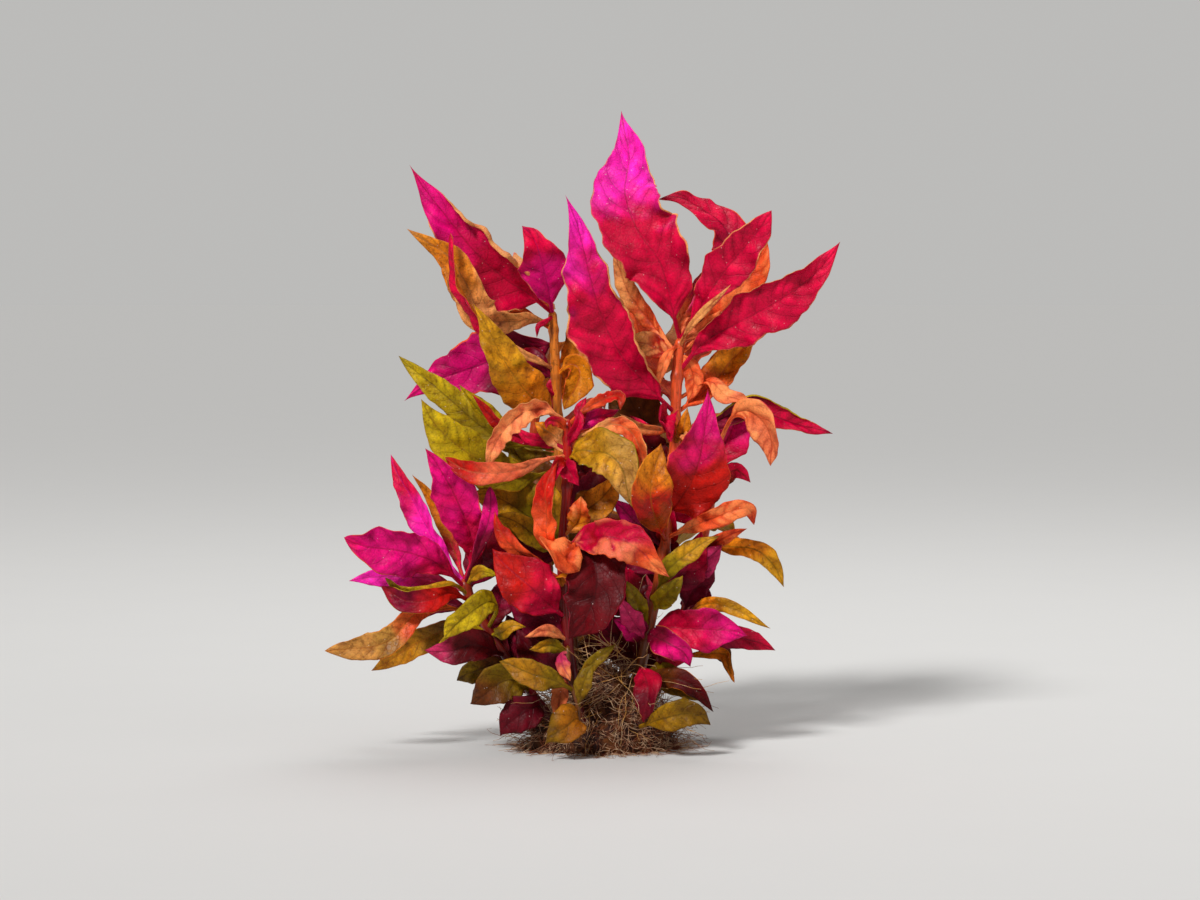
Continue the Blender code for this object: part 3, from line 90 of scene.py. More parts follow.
# How near a leaf's drawn tip, seen from the front, a point of its solid lies to be the solid's tip
TIP_SEARCH = 0.75
# The least distance between two joints of a stem, and half the height of a joint's swelling
JOINT_SPACING = 11.0
JOINT_REACH = 1.25
# The share of its height that the root mat loses from its middle to its rim
CREST_SHARE = 0.26
# The ball that the stray roots grow out of: its middle and its reach
STRAY_MIDDLE = (1, -3, 19)
STRAY_REACH = (12, 9, 13)
# The least height of a fibre's axis above the cut, and a fibre's radius at its end
CUT_CLEARANCE = 0.35
FIBRE_END = 0.05
# The points along a fibre, the shortest one's share of the longest, the size of its bends, how far
# they swing for its wander, how much it grows outwards, and the directions between which it turns
# from that
FIBRE_POINTS = 9
FIBRE_SHORTEST = 0.3
FIBRE_BENDS = 9.0
FIBRE_SWING = 4.0
FIBRE_OUTWARD = 0.55
FIBRE_TURNS = ((-1.0, -1.0, -0.75), (1.0, 1.0, 0.35))
# The cells of the fine net between the veins, and the spaces between the specks of dust
NET_CELL = 1.5
DUST_SPACE = 2.6
BLACK = (0.0, 0.0, 0.0, 1.0)
# Painted shade darkens the lowest blades fully up to the first height and not at all from the second
FOOT_SHADE_HEIGHTS = (8, 46)
# A stem's colour turns from that of its foot to that of its tip between these heights
STEM_TURN = (20, 85)
# How much a stem's thickness changes along it, and how deep it is grooved, as shares of its radius
STEM_UNEVEN = 0.06
STEM_GROOVE = 0.045
# The back stems, the heights where their leaves grow, and the side that they open to
BACK_NODES = (("back_left_stem", range(25, 104, 14), -1), ("back_right_stem", range(22, 112, 14), 1))
# The height of the steepest back leaves, and their mean reach and half width
BACK_TOP = 110
BACK_REACH = 37
BACK_HALF = 7.6
# The refraction index of wet plant skin, the shares of red, green and blue that pass on under it,
# and how deep they reach
WET_IOR = 1.42
UNDER_SKIN = (1.0, 0.3, 0.2)
UNDER_SKIN_DEPTH = 1.2
# The room's white, and its strength on the plant and as the camera sees it
ROOM_WHITE = (1.0, 0.992, 0.97, 1.0)
ROOM_LIGHT = 0.17
ROOM_SEEN = 0.503
# The key light's strength, the angle that softens its shadows, and the way it shines
KEY_STRENGTH = 3.0
KEY_ANGLE = math.radians(11)
KEY_WAY = (0.42, 0.8, -0.72)
# The square lights' names, places and sizes in metres, and powers in watts
SQUARE_LIGHTS = (("fill", (0.8, -0.5, 0.3), 0.8, 1.2), ("top", (0.15, 0.3, 1.0), 0.5, 3.5))

Stem = namedtuple("Stem", "path radius low high slot")
Leaf = namedtuple("Leaf", "name stem at path half top under roll fold edge facing belly petiole "
                          "creased late fused")

# Each stem's points from foot to tip, its radius, its colours at foot and tip, and its slot
STEMS = {
    "left_stem": Stem(
        [(-5, 4, 3), (-9, 4, 40), (-12, 3, 80), (-12.8, 2, 103), (-13.5, 1, 118), (-14.3, 1, 132)],
        1.5, "brown", "stem_orange", "stem_amber"),
    "right_stem": Stem(
        [(7, -3, 3), (15, -6, 38), (20, -6, 66), (22.3, -4, 92), (22.8, -2, 108), (24, -1, 124)],
        1.7, "brown", "coral", "stem_amber"),
    "front_stem": Stem(
        [(-4, -9, 3), (-7, -12, 18), (-10.5, -13, 42), (-11.2, -13, 62), (-9.8, -14, 79),
         (-9.5, -14, 100)],
        1.5, "dark_red", "red", "stem_red"),
    "low_left_stem": Stem(
        [(-10, -4, 3), (-20, -7, 17), (-31, -8, 33), (-38, -8, 45), (-41, -8, 52)],
        1.4, "dark_red", "coral", "stem_red"),
    "far_right_stem": Stem(
        [(12, 4, 3), (22, 4, 30), (29, 3, 54), (33, 1, 72), (33.5, 0, 85)],
        1.4, "dark_red", "coral", "stem_red"),
    "back_left_stem": Stem(
        [(-8, 11, 3), (-14, 14, 40), (-19, 15, 75), (-20, 16, 104)],
        1.5, "brown", "coral", "stem_amber"),
    "back_right_stem": Stem(
        [(5, 11, 3), (10, 15, 40), (13, 17, 80), (11, 17, 112)],
        1.5, "brown", "stem_orange", "stem_amber"),
    "front_runner": Stem(
        [(-6.5, -21, 5), (-6.5, -21, 15), (-8, -20, 21), (-9.5, -18.5, 27), (-9.5, -17, 33)],
        0.8, "brown", "olive", "stem_red"),
}

LEAVES = []


def in_space(x, y, z):
    """The point at depth y that the eye in front of the bunch sees at x and z in the stems' plane."""
    lean, straight = math.sin(EYE_TILT), math.cos(EYE_TILT)
    rise = z - EYE_HEIGHT
    height = rise * (EYE_DISTANCE + y * straight) - EYE_DISTANCE * y * lean
    height /= EYE_DISTANCE * straight + rise * lean
    return (x * (EYE_DISTANCE + y * straight - height * lean) / EYE_DISTANCE, y, EYE_HEIGHT + height)


def leaf(name, at, path, half, colours, stem, roll=(0, 0, 0), fold=(25, 14, 12), edge=(0, 0),
         facing=FRONT, belly=0.5, petiole=0.1, creased=1.0, late=1.0, seen=True):
    """Note a leaf: the height it grows at, its midrib's points, its greatest half width, its colours.

    The colours are those of its base, its tip and its underside. The upper side faces the facing
    vector at half its length. Roll and fold are degrees at the leaf's base, middle and tip. Edge is
    the left and right margins' curl towards the upper side. Belly and petiole are the shares of its
    length where it is widest and where its blade begins. Creased is how much more than the rest it is
    crumpled. Late is the power of the length that its colour runs by. The points of a leaf that is
    seen are given as the eye in front of the bunch sees them.
    """
    path = [in_space(*point) for point in path] if seen else path
    base, tip, under = colours.split()
    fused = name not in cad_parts
    LEAVES.append(Leaf(name, stem, at, path, half, (base, tip), under, roll, fold, edge, facing, belly,
                       petiole, creased, late, fused))


def leaves(group, stem, rows, **shared):
    """Note the leaves of a group that grow on one stem, but for those that name another.

    A row holds a leaf's number, height, points, half width and colours, and then what sets it apart.
    """
    for number, at, path, half, colours, *rest in rows:
        apart = {"stem": stem, **shared, **dict(*rest)}
        leaf("{}_leaf_{}".format(group, number), at, path, half, colours, **apart)


# Crown of the left stem
leaves("left_crown", "left_stem", (
    (1, 131, [(-21, -3, 136.5), (-29, -6, 141.8), (-38, -10, 150), (-48.5, -13, 163), (-58, -13, 175)],
     11.4, "crimson magenta peach", dict(fold=(20, 12, 10), edge=(20, 160), belly=0.32, late=1.1)),
    (2, 131, [(-15.5, -4, 138), (-17.5, -7, 147), (-19.5, -8, 153), (-22, -10, 157.5)], 7.0,
     "magenta crimson salmon", dict(fold=(30, 10, 40), edge=(20, 0))),
    (3, 128, [(-22, -4, 129.4), (-30, -9, 128.4), (-36, -13, 131), (-40, -16, 139.5), (-46.5, -18, 149),
     (-58.5, -20, 155.5)], 5.2, "peach amber peach", dict(roll=(-30, 5, 0), fold=(15, 15, 15),
     petiole=0.03, creased=1.5)),
    (4, 106, [(-20, -4, 111), (-30, -11, 119), (-37, -18, 130), (-42.5, -22, 140), (-45.5, -23, 155)],
     2.7, "crimson crimson amber", dict(roll=(0, 55, 60), fold=(10, 30, 35), belly=0.66)),
    (5, 122, [(-23, 6, 119.5), (-33, 9, 116.5), (-45, 12, 112.5), (-59.5, 14, 106.5)], 9.5,
     "wine magenta coral", dict(fold=(20, 10, 10), belly=0.38, petiole=0.03)),
    (6, 100, [(-17.5, -7, 103), (-24.5, -15, 110.5), (-31, -20, 121), (-36.5, -23, 134.5)], 6.8,
     "amber ochre ochre", dict(fold=(25, 15, 20), edge=(0, 20), belly=0.42)),
    (7, 104, [(-8.5, 7, 112), (-6.5, 9, 122), (-9.5, 9, 133.5)], 5.2, "amber brown amber",
     dict(belly=0.4)),
    (8, 126, [(-22, 1, 130.5), (-32, 3, 133), (-42, 5, 140), (-49, 4, 149.5)], 5.0, "coral amber brown",
     dict(roll=(0, 20, 0))),
    (9, 112, [(-9, -2, 115.8), (-6.2, -3, 114), (-7.2, -3, 109), (-11.5, -3, 102.5)], 4.5,
     "amber amber coral", dict(fold=(30, 20, 20), edge=(0, 60), belly=0.55)),
    (10, 131, [(-17.5, -8, 136), (-20.5, -11, 139.5), (-22, -12, 143.8)], 1.3, "coral coral coral"),
    (11, 113, [(-14.8, -3, 109), (-15.6, -3, 104), (-14.6, -3, 99)], 2.0, "crimson crimson red"),
    (12, 114, [(-18, -2, 116.5), (-23, -4, 119), (-27, -6, 122.5)], 1.2, "peach peach peach"),
    (13, 130, [(-16.5, -4, 128.4), (-18.6, -5, 127), (-18.8, -4, 123.6)], 0.9, "crimson crimson red"),
    (14, 111, [(-18, 1, 114), (-23, 3, 116), (-28.5, 4, 119)], 5.6, "wine crimson coral")))

# Crown of the right stem
leaves("right_crown", "right_stem", (
    (1, 123, [(22, -5, 131), (20.3, -7, 139), (17.6, -7, 147), (11.2, -6, 156), (7.5, -3, 167),
     (8.6, 2, 179), (4.5, 8, 191.5)], 11.6, "crimson pink peach", dict(fold=(20, 10, 12), edge=(0, 30),
     belly=0.4, late=1.15)),
    (2, 101, [(15, -9, 108.5), (7, -14, 117.5), (0.5, -18, 130), (-4, -21, 146), (-8.5, -22, 167)],
     10.8, "crimson pink peach", dict(fold=(30, 12, 12), edge=(0, 120), belly=0.38, late=2.0)),
    (3, 123, [(29.5, -8, 131.5), (36.5, -14, 142.5), (44.3, -18, 152), (52, -22, 161)], 6.7,
     "crimson crimson peach", dict(roll=(15, 10, 0), fold=(35, 18, 12), belly=0.58)),
    (4, 121, [(34, 7, 136), (39.5, 13, 147), (37.5, 16, 156), (31, 17, 161.5), (24.5, 16, 165.5),
     (17.5, 15, 165)], 6.4, "wine crimson coral", dict(roll=(0, -10, -30), fold=(20, 15, 20))),
    (5, 118, [(38, 3, 133), (46.5, 4, 145), (48.5, 4, 154)], 6.0, "coral coral crimson",
     dict(belly=0.55)),
    (6, 113, [(31, -5, 122), (41, -9, 128), (52, -13, 134), (63, -16, 141.5), (73.3, -18, 151.2)], 8.2,
     "crimson crimson peach", dict(fold=(30, 12, 15), edge=(70, 0), belly=0.46)),
    (7, 101, [(33, 4, 109), (39.5, 5, 117), (47.5, 5, 124)], 5.4, "coral amber coral",
     dict(roll=(0, 20, 20), creased=1.6)),
    (8, 105, [(28, 1, 108), (33, -2, 110.5), (37, -4, 106.5), (41, -5, 105.3), (46.5, -5, 103)], 3.0,
     "coral salmon coral", dict(roll=(30, 40, 20), belly=0.55)),
    (9, 71, [(24, -13, 75.5), (27.5, -18, 80.5), (30, -20, 88), (31.6, -20, 97), (33.4, -19, 108.3)],
     9.5, "red magenta coral", dict(fold=(20, 14, 35), edge=(10, 10), belly=0.36, petiole=0.05,
     late=1.3)),
    (10, 93, [(36, 2, 99), (45, 4, 103), (54, 6, 99.5), (62, 8, 97), (70, 9, 96.2)], 4.9,
     "wine crimson yellow", dict(roll=(0, 20, 30), fold=(30, 20, 10), edge=(150, 0))),
    (11, 84, [(38, -8, 97), (42.5, -12, 102), (47.5, -14, 100), (51, -15, 94), (51.8, -14, 85)], 5.3,
     "coral salmon crimson", dict(stem="far_right_stem", fold=(25, 15, 20), petiole=0.42)),
    (12, 118, [(14, 5, 130), (8, 7, 138.5), (3.5, 7, 152)], 3.2, "coral peach coral",
     dict(roll=(0, 20, 30))),
    (13, 117, [(15, 3, 121.5), (7.5, 4, 123)], 4.2, "red peach coral"),
    (14, 122, [(20.3, -5, 118.5), (18.2, -6, 113), (17, -6, 108.5)], 1.6, "coral coral coral"),
    (15, 123, [(27, -9, 128.5), (29.3, -15, 133), (31, -17.5, 139.5)], 3.0, "salmon rose salmon",
     dict(fold=(40, 40, 40), creased=2.6)),
    (16, 122, [(30, -1, 126), (36.5, 0, 131.5)], 2.2, "salmon coral peach"),
    (17, 96, [(17, -8, 96), (11.5, -10, 97), (6, -11, 101)], 1.9, "coral peach salmon",
     dict(roll=(0, 20, 40))),
    (18, 99, [(19, -10, 99.5), (19.3, -13, 96.5), (22, -15, 92.5)], 4.8, "crimson crimson crimson",
     dict(fold=(40, 40, 40), edge=(60, 60), creased=2.4)),
    (19, 86, [(17, -3, 90), (13, -4, 95), (10, -4, 101)], 4.4, "dark_red crimson dark_red",
     dict(belly=0.45)),
    (20, 96, [(25, -15, 94.5), (27, -24, 92.5), (31, -26.5, 93.5), (35, -26, 92.5)], 1.4,
     "peach salmon peach", dict(roll=(0, 10, 30))),
    (21, 90, [(15, 4, 97), (9, 6, 105), (5, 7, 116)], 7.0, "brown brown brown"),
    (22, 122, [(25, -5, 128), (27.5, -8, 134), (31, -9, 144.5)], 2.8, "salmon rose salmon",
     dict(roll=(0, 30, 50), fold=(30, 40, 40), creased=2.0)),
    (23, 119, [(26, -4, 117), (28.3, -5, 111), (27, -5, 104)], 3.2, "coral coral coral"),
    (24, 121, [(27, -10, 127), (33, -15, 133.5), (39.5, -17, 139.5)], 1.2, "peach peach salmon"),
    (25, 92, [(24.5, -9, 95), (25.5, -10, 99), (26, -10, 102.8)], 2.0, "amber amber peach")))

# Olive leaves on the left
leaves("left_olive", "left_stem", (
    (1, 84, [(-24, -3, 81.5), (-33, -8, 85), (-41, -12, 90), (-48, -14, 96), (-54.8, -16, 104.2)], 7.0,
     "olive yellow ochre", dict(fold=(25, 15, 10))),
    (2, 90, [(-22, 2, 91.5), (-32, 2, 94.5), (-43, 2, 103.5), (-52, 3, 111), (-61.3, 6, 117.3)], 4.2,
     "olive yellow olive", dict(roll=(0, 20, 10), belly=0.55)),
    (3, 88, [(-23, 6, 91), (-31, 6, 96), (-37, 5, 102.5), (-42.8, 4, 109)], 4.6, "olive yellow olive"),
    (4, 91, [(-24, 3, 94), (-31, 3, 99), (-38, 3, 107.3)], 2.3, "crimson red amber",
     dict(roll=(0, 20, 30)))))

# Shoot tip and big leaves of the front stem
leaves("centre", "front_stem", (
    (1, 99, [(-18, -18, 102.5), (-26, -21, 99), (-31.5, -22, 91.5), (-33.2, -21, 84)], 4.4,
     "salmon salmon peach", dict(fold=(20, 30, 30), edge=(30, 60), creased=2.6)),
    (2, 94, [(-1, -19, 96), (4, -22, 97.7), (9, -24, 95.8), (12, -25, 90), (12.8, -24, 82)], 2.9,
     "peach coral peach", dict(roll=(0, 0, 20), fold=(20, 25, 20), belly=0.6, creased=2.4)),
    (3, 88, [(-5, -19, 89.6), (2.5, -25, 88.8), (6.8, -28, 84), (8.2, -28, 78), (9.3, -26, 71)], 7.0,
     "ochre tan olive", dict(fold=(25, 12, 10), edge=(0, 20), belly=0.4, petiole=0.05, creased=1.8)),
    (4, 89, [(-17, -19, 87), (-25, -23, 84), (-34, -24, 83), (-41, -22, 84.3), (-46.3, -19, 88.5)], 3.4,
     "salmon red coral", dict(fold=(20, 20, 20), edge=(0, 30), belly=0.62, creased=1.5)),
    (5, 65, [(-7, -16, 68), (-6, -18, 71), (-5.3, -19, 76)], 3.6, "amber coral coral",
     dict(fold=(25, 20, 20), belly=0.55, creased=2.6)),
    (7, 63, [(-18, -2, 67), (-24, -4, 71.5), (-31, -5, 75.5), (-38.3, -4, 78)], 8.6,
     "olive ochre brown", dict(stem="left_stem", creased=1.4)),
    (8, 58, [(-18, -4, 63), (-24.5, -7, 68), (-31.5, -7, 71.5)], 3.8, "olive ochre brown",
     dict(stem="left_stem")),
    (9, 52, [(-18, -19, 55), (-25, -22, 60), (-30, -22, 66), (-32, -21, 71.5)], 3.2, "coral red coral",
     dict(roll=(0, 30, 20), creased=2.0)),
    (10, 61, [(-12.5, -20, 61.5), (-13.8, -25, 61), (-11, -28, 58.5), (-6.3, -28, 53.3)], 6.0,
     "coral coral salmon", dict(fold=(20, 15, 20), belly=0.6, petiole=0.2, creased=2.4)),
    (6, 59, [(-15, -18, 62), (-16, -20, 70), (-15.8, -19, 79), (-13.5, -17, 87)], 4.3,
     "coral red coral", dict(roll=(0, 30, 0), fold=(20, 30, 20), belly=0.45, creased=1.8)),
    (11, 50, [(-12, -21, 52), (-10, -24, 52.3), (-8.3, -24.5, 49.8)], 2.4, "amber coral amber",
     dict(fold=(30, 30, 30), edge=(40, 40))),
    (12, 62, [(-5, -21, 63), (2, -27, 64), (9, -30, 62), (14.5, -30, 57.5), (19.5, -28, 51)], 5.9,
     "crimson coral coral", dict(fold=(25, 15, 12), edge=(0, 10), creased=2.0, late=1.9)),
    (13, 57, [(-4, -19, 59.5), (-1, -23, 53), (-2.5, -24, 43.5), (-8.5, -22, 32.5)], 9.4,
     "dark_red dark_red crimson", dict(fold=(25, 12, 10), belly=0.48)),
    (14, 41, [(-16, -18, 44.5), (-21, -21, 49.5), (-27, -21, 54.5), (-33, -19, 60)], 7.8,
     "crimson red red", dict(belly=0.45)),
    (15, 35, [(-15, -15, 37.5), (-21, -16, 41), (-28, -15, 43.5)], 6.4, "wine wine wine"),
    (16, 96, [(-6, -14, 99), (-6, -13, 102), (-4.3, -12, 106)], 2.0, "red crimson red",
     dict(creased=2.4)),
    (17, 98, [(-4, -16, 102.5), (1.4, -17, 105.3), (6, -18, 106), (6.4, -19, 102)], 1.9,
     "coral red salmon", dict(roll=(0, 20, 20), belly=0.6, creased=2.6)),
    (18, 95, [(-2, -13, 99.5), (6, -12, 101.5)], 2.4, "magenta crimson rose"),
    (19, 88, [(-12, -12, 92.5), (-15.5, -12, 95.5), (-20, -11.5, 97.8)], 3.4, "peach amber peach"),
    (20, 84, [(-10.5, -18, 85.5), (-8.5, -19.5, 82.5), (-7, -19.5, 79)], 3.0, "crimson crimson red",
     dict(fold=(30, 30, 30), creased=2.6)),
    (21, 30, [(-15, -16, 31.5), (-21, -17, 29.5)], 2.3, "olive ochre olive"),
    (22, 34, [(-16, -19, 36), (-22.5, -20, 33.5)], 1.9, "salmon salmon salmon"),
    (23, 91, [(-16, -11, 92.5), (-21, -11, 93.5), (-25.5, -11, 96.5)], 2.2, "crimson crimson red",
     dict(creased=2.0)),
    (24, 80, [(-6.5, -12, 83), (-4.5, -11, 88), (-4, -10, 94)], 3.6, "dark_red crimson red",
     dict(fold=(30, 30, 30), creased=2.0)),
    (26, 91, [(-8.3, -17, 94.5), (-6.3, -17.5, 98.5), (-6.6, -17, 103)], 2.1, "crimson crimson red",
     dict(fold=(35, 35, 35), creased=2.8)),
    (27, 87, [(-11.5, -18, 86.5), (-13.5, -19.5, 84), (-13.2, -19.5, 80.5)], 2.2, "red crimson red",
     dict(fold=(30, 30, 30), creased=2.6)),
    (28, 96, [(-12.5, -17, 98.5), (-15.5, -18.5, 99), (-16.5, -19, 96.5)], 2.0, "coral crimson red",
     dict(fold=(35, 35, 35), creased=2.8)),
    (25, 60, [(-13, -5, 66), (-13.5, -6, 72), (-13.6, -6, 80)], 4.2, "olive ochre olive",
     dict(stem="left_stem"))))

# Right flank
leaves("right", "far_right_stem", (
    (1, 63, [(17, -12, 69), (15, -16, 76.5), (16, -16, 85), (19.5, -14, 92)], 6.3, "red amber amber",
     dict(stem="right_stem", fold=(25, 20, 20), late=1.2)),
    (2, 60, [(20.5, -16, 65), (20.5, -20, 70), (19.5, -20, 76)], 4.0, "red crimson crimson",
     dict(stem="right_stem", fold=(30, 30, 30))),
    (3, 64, [(27.5, -13, 67), (35, -18, 70), (41, -19, 72.3), (45, -18, 71.7), (45.6, -16, 67)], 3.5,
     "coral coral coral", dict(stem="right_stem", fold=(25, 25, 20), edge=(40, 0), belly=0.55,
     creased=1.6)),
    (4, 61, [(40, -4, 61), (47, -6, 60), (52, -6, 55.5), (55.6, -5, 49)], 3.3, "amber ochre olive",
     dict(fold=(20, 20, 20))),
    (5, 59, [(37, -9, 63.5), (44, -10, 66.8)], 2.2, "red coral red"),
    (6, 57, [(30, -7, 55), (33, -9, 58), (37, -9, 61)], 4.4, "wine rose wine"),
    (7, 47, [(20.5, -14, 54), (27, -16, 59.5), (35.5, -15, 65)], 3.2, "olive ochre olive",
     dict(stem="right_stem", roll=(0, 10, 20))),
    (8, 42, [(20, -15, 47), (25.5, -17, 51.5)], 3.8, "olive olive ochre", dict(stem="right_stem")),
    (9, 41, [(27, -2, 46), (30, -3, 52), (34, -4, 59)], 4.6, "wine wine wine", dict(belly=0.48)),
    (10, 82, [(37, 3, 90.5), (40, 4, 97), (41, 4, 104.5)], 6.8, "crimson magenta coral"),
    (11, 77, [(38, -2, 82), (41, -3, 84), (45.5, -3, 80.5)], 2.6, "brown crimson brown")))

# Left shoot
leaves("left_shoot", "low_left_stem", (
    (1, 51, [(-38, -8, 59), (-40, -12, 68), (-45, -17, 79), (-51.5, -20, 91)], 6.8,
     "crimson magenta coral", dict(fold=(30, 12, 12), edge=(0, 20), belly=0.48, creased=1.5,
     late=0.75)),
    (2, 51, [(-47, -4, 58), (-52.5, -3, 68), (-57.5, -1, 78), (-64, 2, 88)], 4.8, "pink crimson coral",
     dict(roll=(0, 20, 30), fold=(30, 35, 30))),
    (3, 50, [(-44, 2, 60), (-47.5, 5, 69), (-52, 6, 77), (-57, 5, 82)], 2.4, "crimson amber amber"),
    (4, 49, [(-48, -14, 55.5), (-56, -19, 59), (-66, -22, 60.5), (-77, -24, 61.5)], 7.5,
     "crimson magenta coral", dict(fold=(30, 12, 12), edge=(0, 50), belly=0.6, creased=1.7, late=0.6)),
    (5, 48, [(-50, -8, 51), (-60, -9, 52), (-75.5, -8, 51.5)], 3.6, "rose pink coral",
     dict(roll=(0, -10, 0))),
    (6, 45, [(-45, -15, 47), (-52, -19, 44.8), (-59, -19, 45), (-65.5, -16, 50)], 4.0,
     "red wine yellow", dict(fold=(25, 20, 20), edge=(0, 40), belly=0.55, creased=1.4)),
    (7, 41, [(-47, -12, 43), (-53, -15, 42.6), (-57.5, -16, 39), (-62, -17, 33.8), (-68, -18, 31),
     (-75, -19, 30.3), (-82.5, -20, 29)], 4.5, "coral tan amber", dict(fold=(20, 20, 15), edge=(0, 20),
     belly=0.6)),
    (8, 37, [(-43, -2, 37), (-52, 0, 33.5), (-60, 3, 29), (-68.5, 7, 22.8)], 4.4, "brown ochre amber"),
    (9, 37, [(-31, -15, 42), (-33, -21, 44.5), (-37, -25, 42.5), (-42, -26, 39), (-47.3, -24, 34.3)],
     4.5, "yellow yellow olive", dict(fold=(25, 15, 10), belly=0.6, petiole=0.2)),
    (10, 32, [(-38, -14, 35.5), (-44, -17, 34), (-50, -17, 30.5)], 2.2, "yellow yellow olive"),
    (11, 29, [(-37, -13, 32), (-44, -14, 30.5), (-52.5, -13, 29.5)], 5.4, "dark_red rose wine",
     dict(belly=0.45, late=1.6)),
    (12, 25, [(-32, -9, 25.5), (-38, -9, 23.5), (-43.5, -8, 21.5)], 4.4, "brown olive brown"),
    (13, 50, [(-36, -12, 53.5), (-30.5, -13, 52.5)], 2.1, "ochre yellow olive"),
    (14, 48, [(-36, 0, 55), (-34, 5, 63), (-35.5, 9, 71.5)], 6.8, "wine crimson dark_red",
     dict(belly=0.48)),
    (15, 35, [(-29, -17, 35.5), (-27, -19, 37), (-22.3, -19, 37.6)], 2.5, "yellow ochre olive"),
    (16, 43, [(-48, -6, 44.5), (-56, -8, 45.5), (-64.5, -8, 49)], 4.6, "wine magenta wine"),
    (17, 47, [(-45, -18, 49.5), (-53, -22, 47), (-60, -22, 47.3), (-64.8, -19, 51)], 1.8,
     "ochre yellow yellow", dict(roll=(0, 0, 20), belly=0.66)),
    (18, 50, [(-36, -9, 62), (-33, -10, 70), (-32.3, -10, 79.5)], 2.6, "wine magenta rose",
     dict(belly=0.66))))

# Foot of the bunch, left
leaves("low_left", "low_left_stem", (
    (1, 18, [(-26, -14, 21), (-32, -15, 19), (-38.2, -14, 12.8)], 6.6, "olive brown brown",
     dict(belly=0.48)),
    (2, 20, [(-14, -23, 21), (-21, -24, 23), (-30, -22, 27.4)], 4.5, "olive ochre olive",
     dict(stem="front_runner")),
    (3, 22, [(-11, -22, 20), (-12.3, -25, 14), (-13, -25, 7.3)], 2.7, "salmon salmon salmon",
     dict(stem="front_runner", creased=1.4)),
    (4, 31, [(-11.5, -19, 28.5), (-11, -22, 25), (-8.5, -24, 21)], 2.2, "rose salmon rose",
     dict(stem="front_runner")),
    (5, 9, [(-7, -25, 9.5), (-11, -28, 6.5), (-17, -28, 3)], 5.4, "ochre olive olive",
     dict(stem="front_runner", fold=(20, 10, 10), belly=0.45)),
    (6, 15, [(-5, -22, 20), (-2.5, -22, 26)], 2.8, "olive olive olive", dict(stem="front_runner")),
    (7, 20, [(-2.5, -19, 26), (5, -20, 31.5)], 2.1, "ochre olive olive", dict(stem="front_runner")),
    (8, 13, [(-19, -13, 13), (-25, -15, 10), (-31, -14, 5)], 5.4, "wine wine dark_red",
     dict(belly=0.48)),
    (9, 26, [(-30, -1, 30), (-34, 1, 35), (-37, 2, 43)], 7.6, "dark_red wine wine"),
    (10, 16, [(-21, 0, 20), (-28, 2, 23), (-36, 3, 25)], 7.2, "brown wine wine"),
    (11, 21, [(-22, -2, 26), (-25, 0, 33), (-27, 2, 41)], 5.4, "dark_red wine wine"),
    (12, 36, [(-31, -5, 41), (-29.5, -5, 46), (-28, -4, 52)], 4.4, "dark_red wine dark_red")))

# Foot of the bunch, right
leaves("low_right", "right_stem", (
    (1, 35, [(16, -13, 34.3), (20.5, -18, 32), (25, -19, 29.3), (28, -18, 25.4)], 4.7,
     "wine magenta amber", dict(fold=(20, 20, 15), creased=1.6)),
    (2, 33, [(19, -8, 36.5), (27, -11, 36.5), (36, -12, 36), (44.3, -11, 36)], 6.8,
     "crimson magenta rose", dict(belly=0.48, creased=1.4)),
    (3, 29, [(17, -9, 30.5), (22, -11, 29.5), (28, -10, 27.5)], 4.6, "dark_red crimson dark_red"),
    (4, 35, [(33, 1, 35), (43, 2, 33.5), (53, 3, 30.5)], 3.8, "wine crimson wine",
     dict(stem="far_right_stem")),
    (5, 40, [(33, -9, 44), (42, -13, 41.5), (51, -12, 36)], 2.1, "amber ochre ochre",
     dict(stem="far_right_stem")),
    (6, 27, [(36, -1, 29), (38.3, -3, 26), (39.8, -3, 20)], 1.8, "amber amber ochre",
     dict(stem="far_right_stem", belly=0.6)),
    (7, 25, [(12.5, -13, 24), (14.2, -20, 20), (14, -22, 14.5), (12, -21, 8.4)], 4.2,
     "crimson wine crimson", dict(belly=0.52, petiole=0.2)),
    (8, 6, [(12, -17, 7), (19, -24, 9.5), (27, -25, 11), (34, -23, 8.5)], 4.5, "yellow olive olive",
     dict(stem="root_mass", fold=(20, 12, 10))),
    (9, 19, [(17, -13, 21.5), (24, -18, 21), (29.5, -19, 17.5), (33.5, -18, 11)], 3.2,
     "brown dark_red amber", dict(roll=(0, 10, 0))),
    (10, 37, [(11, -12, 44), (8.3, -14, 51)], 2.9, "olive olive ochre"),
    (11, 33, [(9, -15, 40), (5.5, -17, 46)], 3.2, "rose rose wine"),
    (12, 23, [(18, -14, 23), (24, -18, 19), (31, -19, 13.5)], 3.8, "olive olive olive"),
    (13, 33, [(11.5, -13, 35), (8, -16, 37), (4.5, -17, 39.5)], 4.0, "wine magenta wine")))

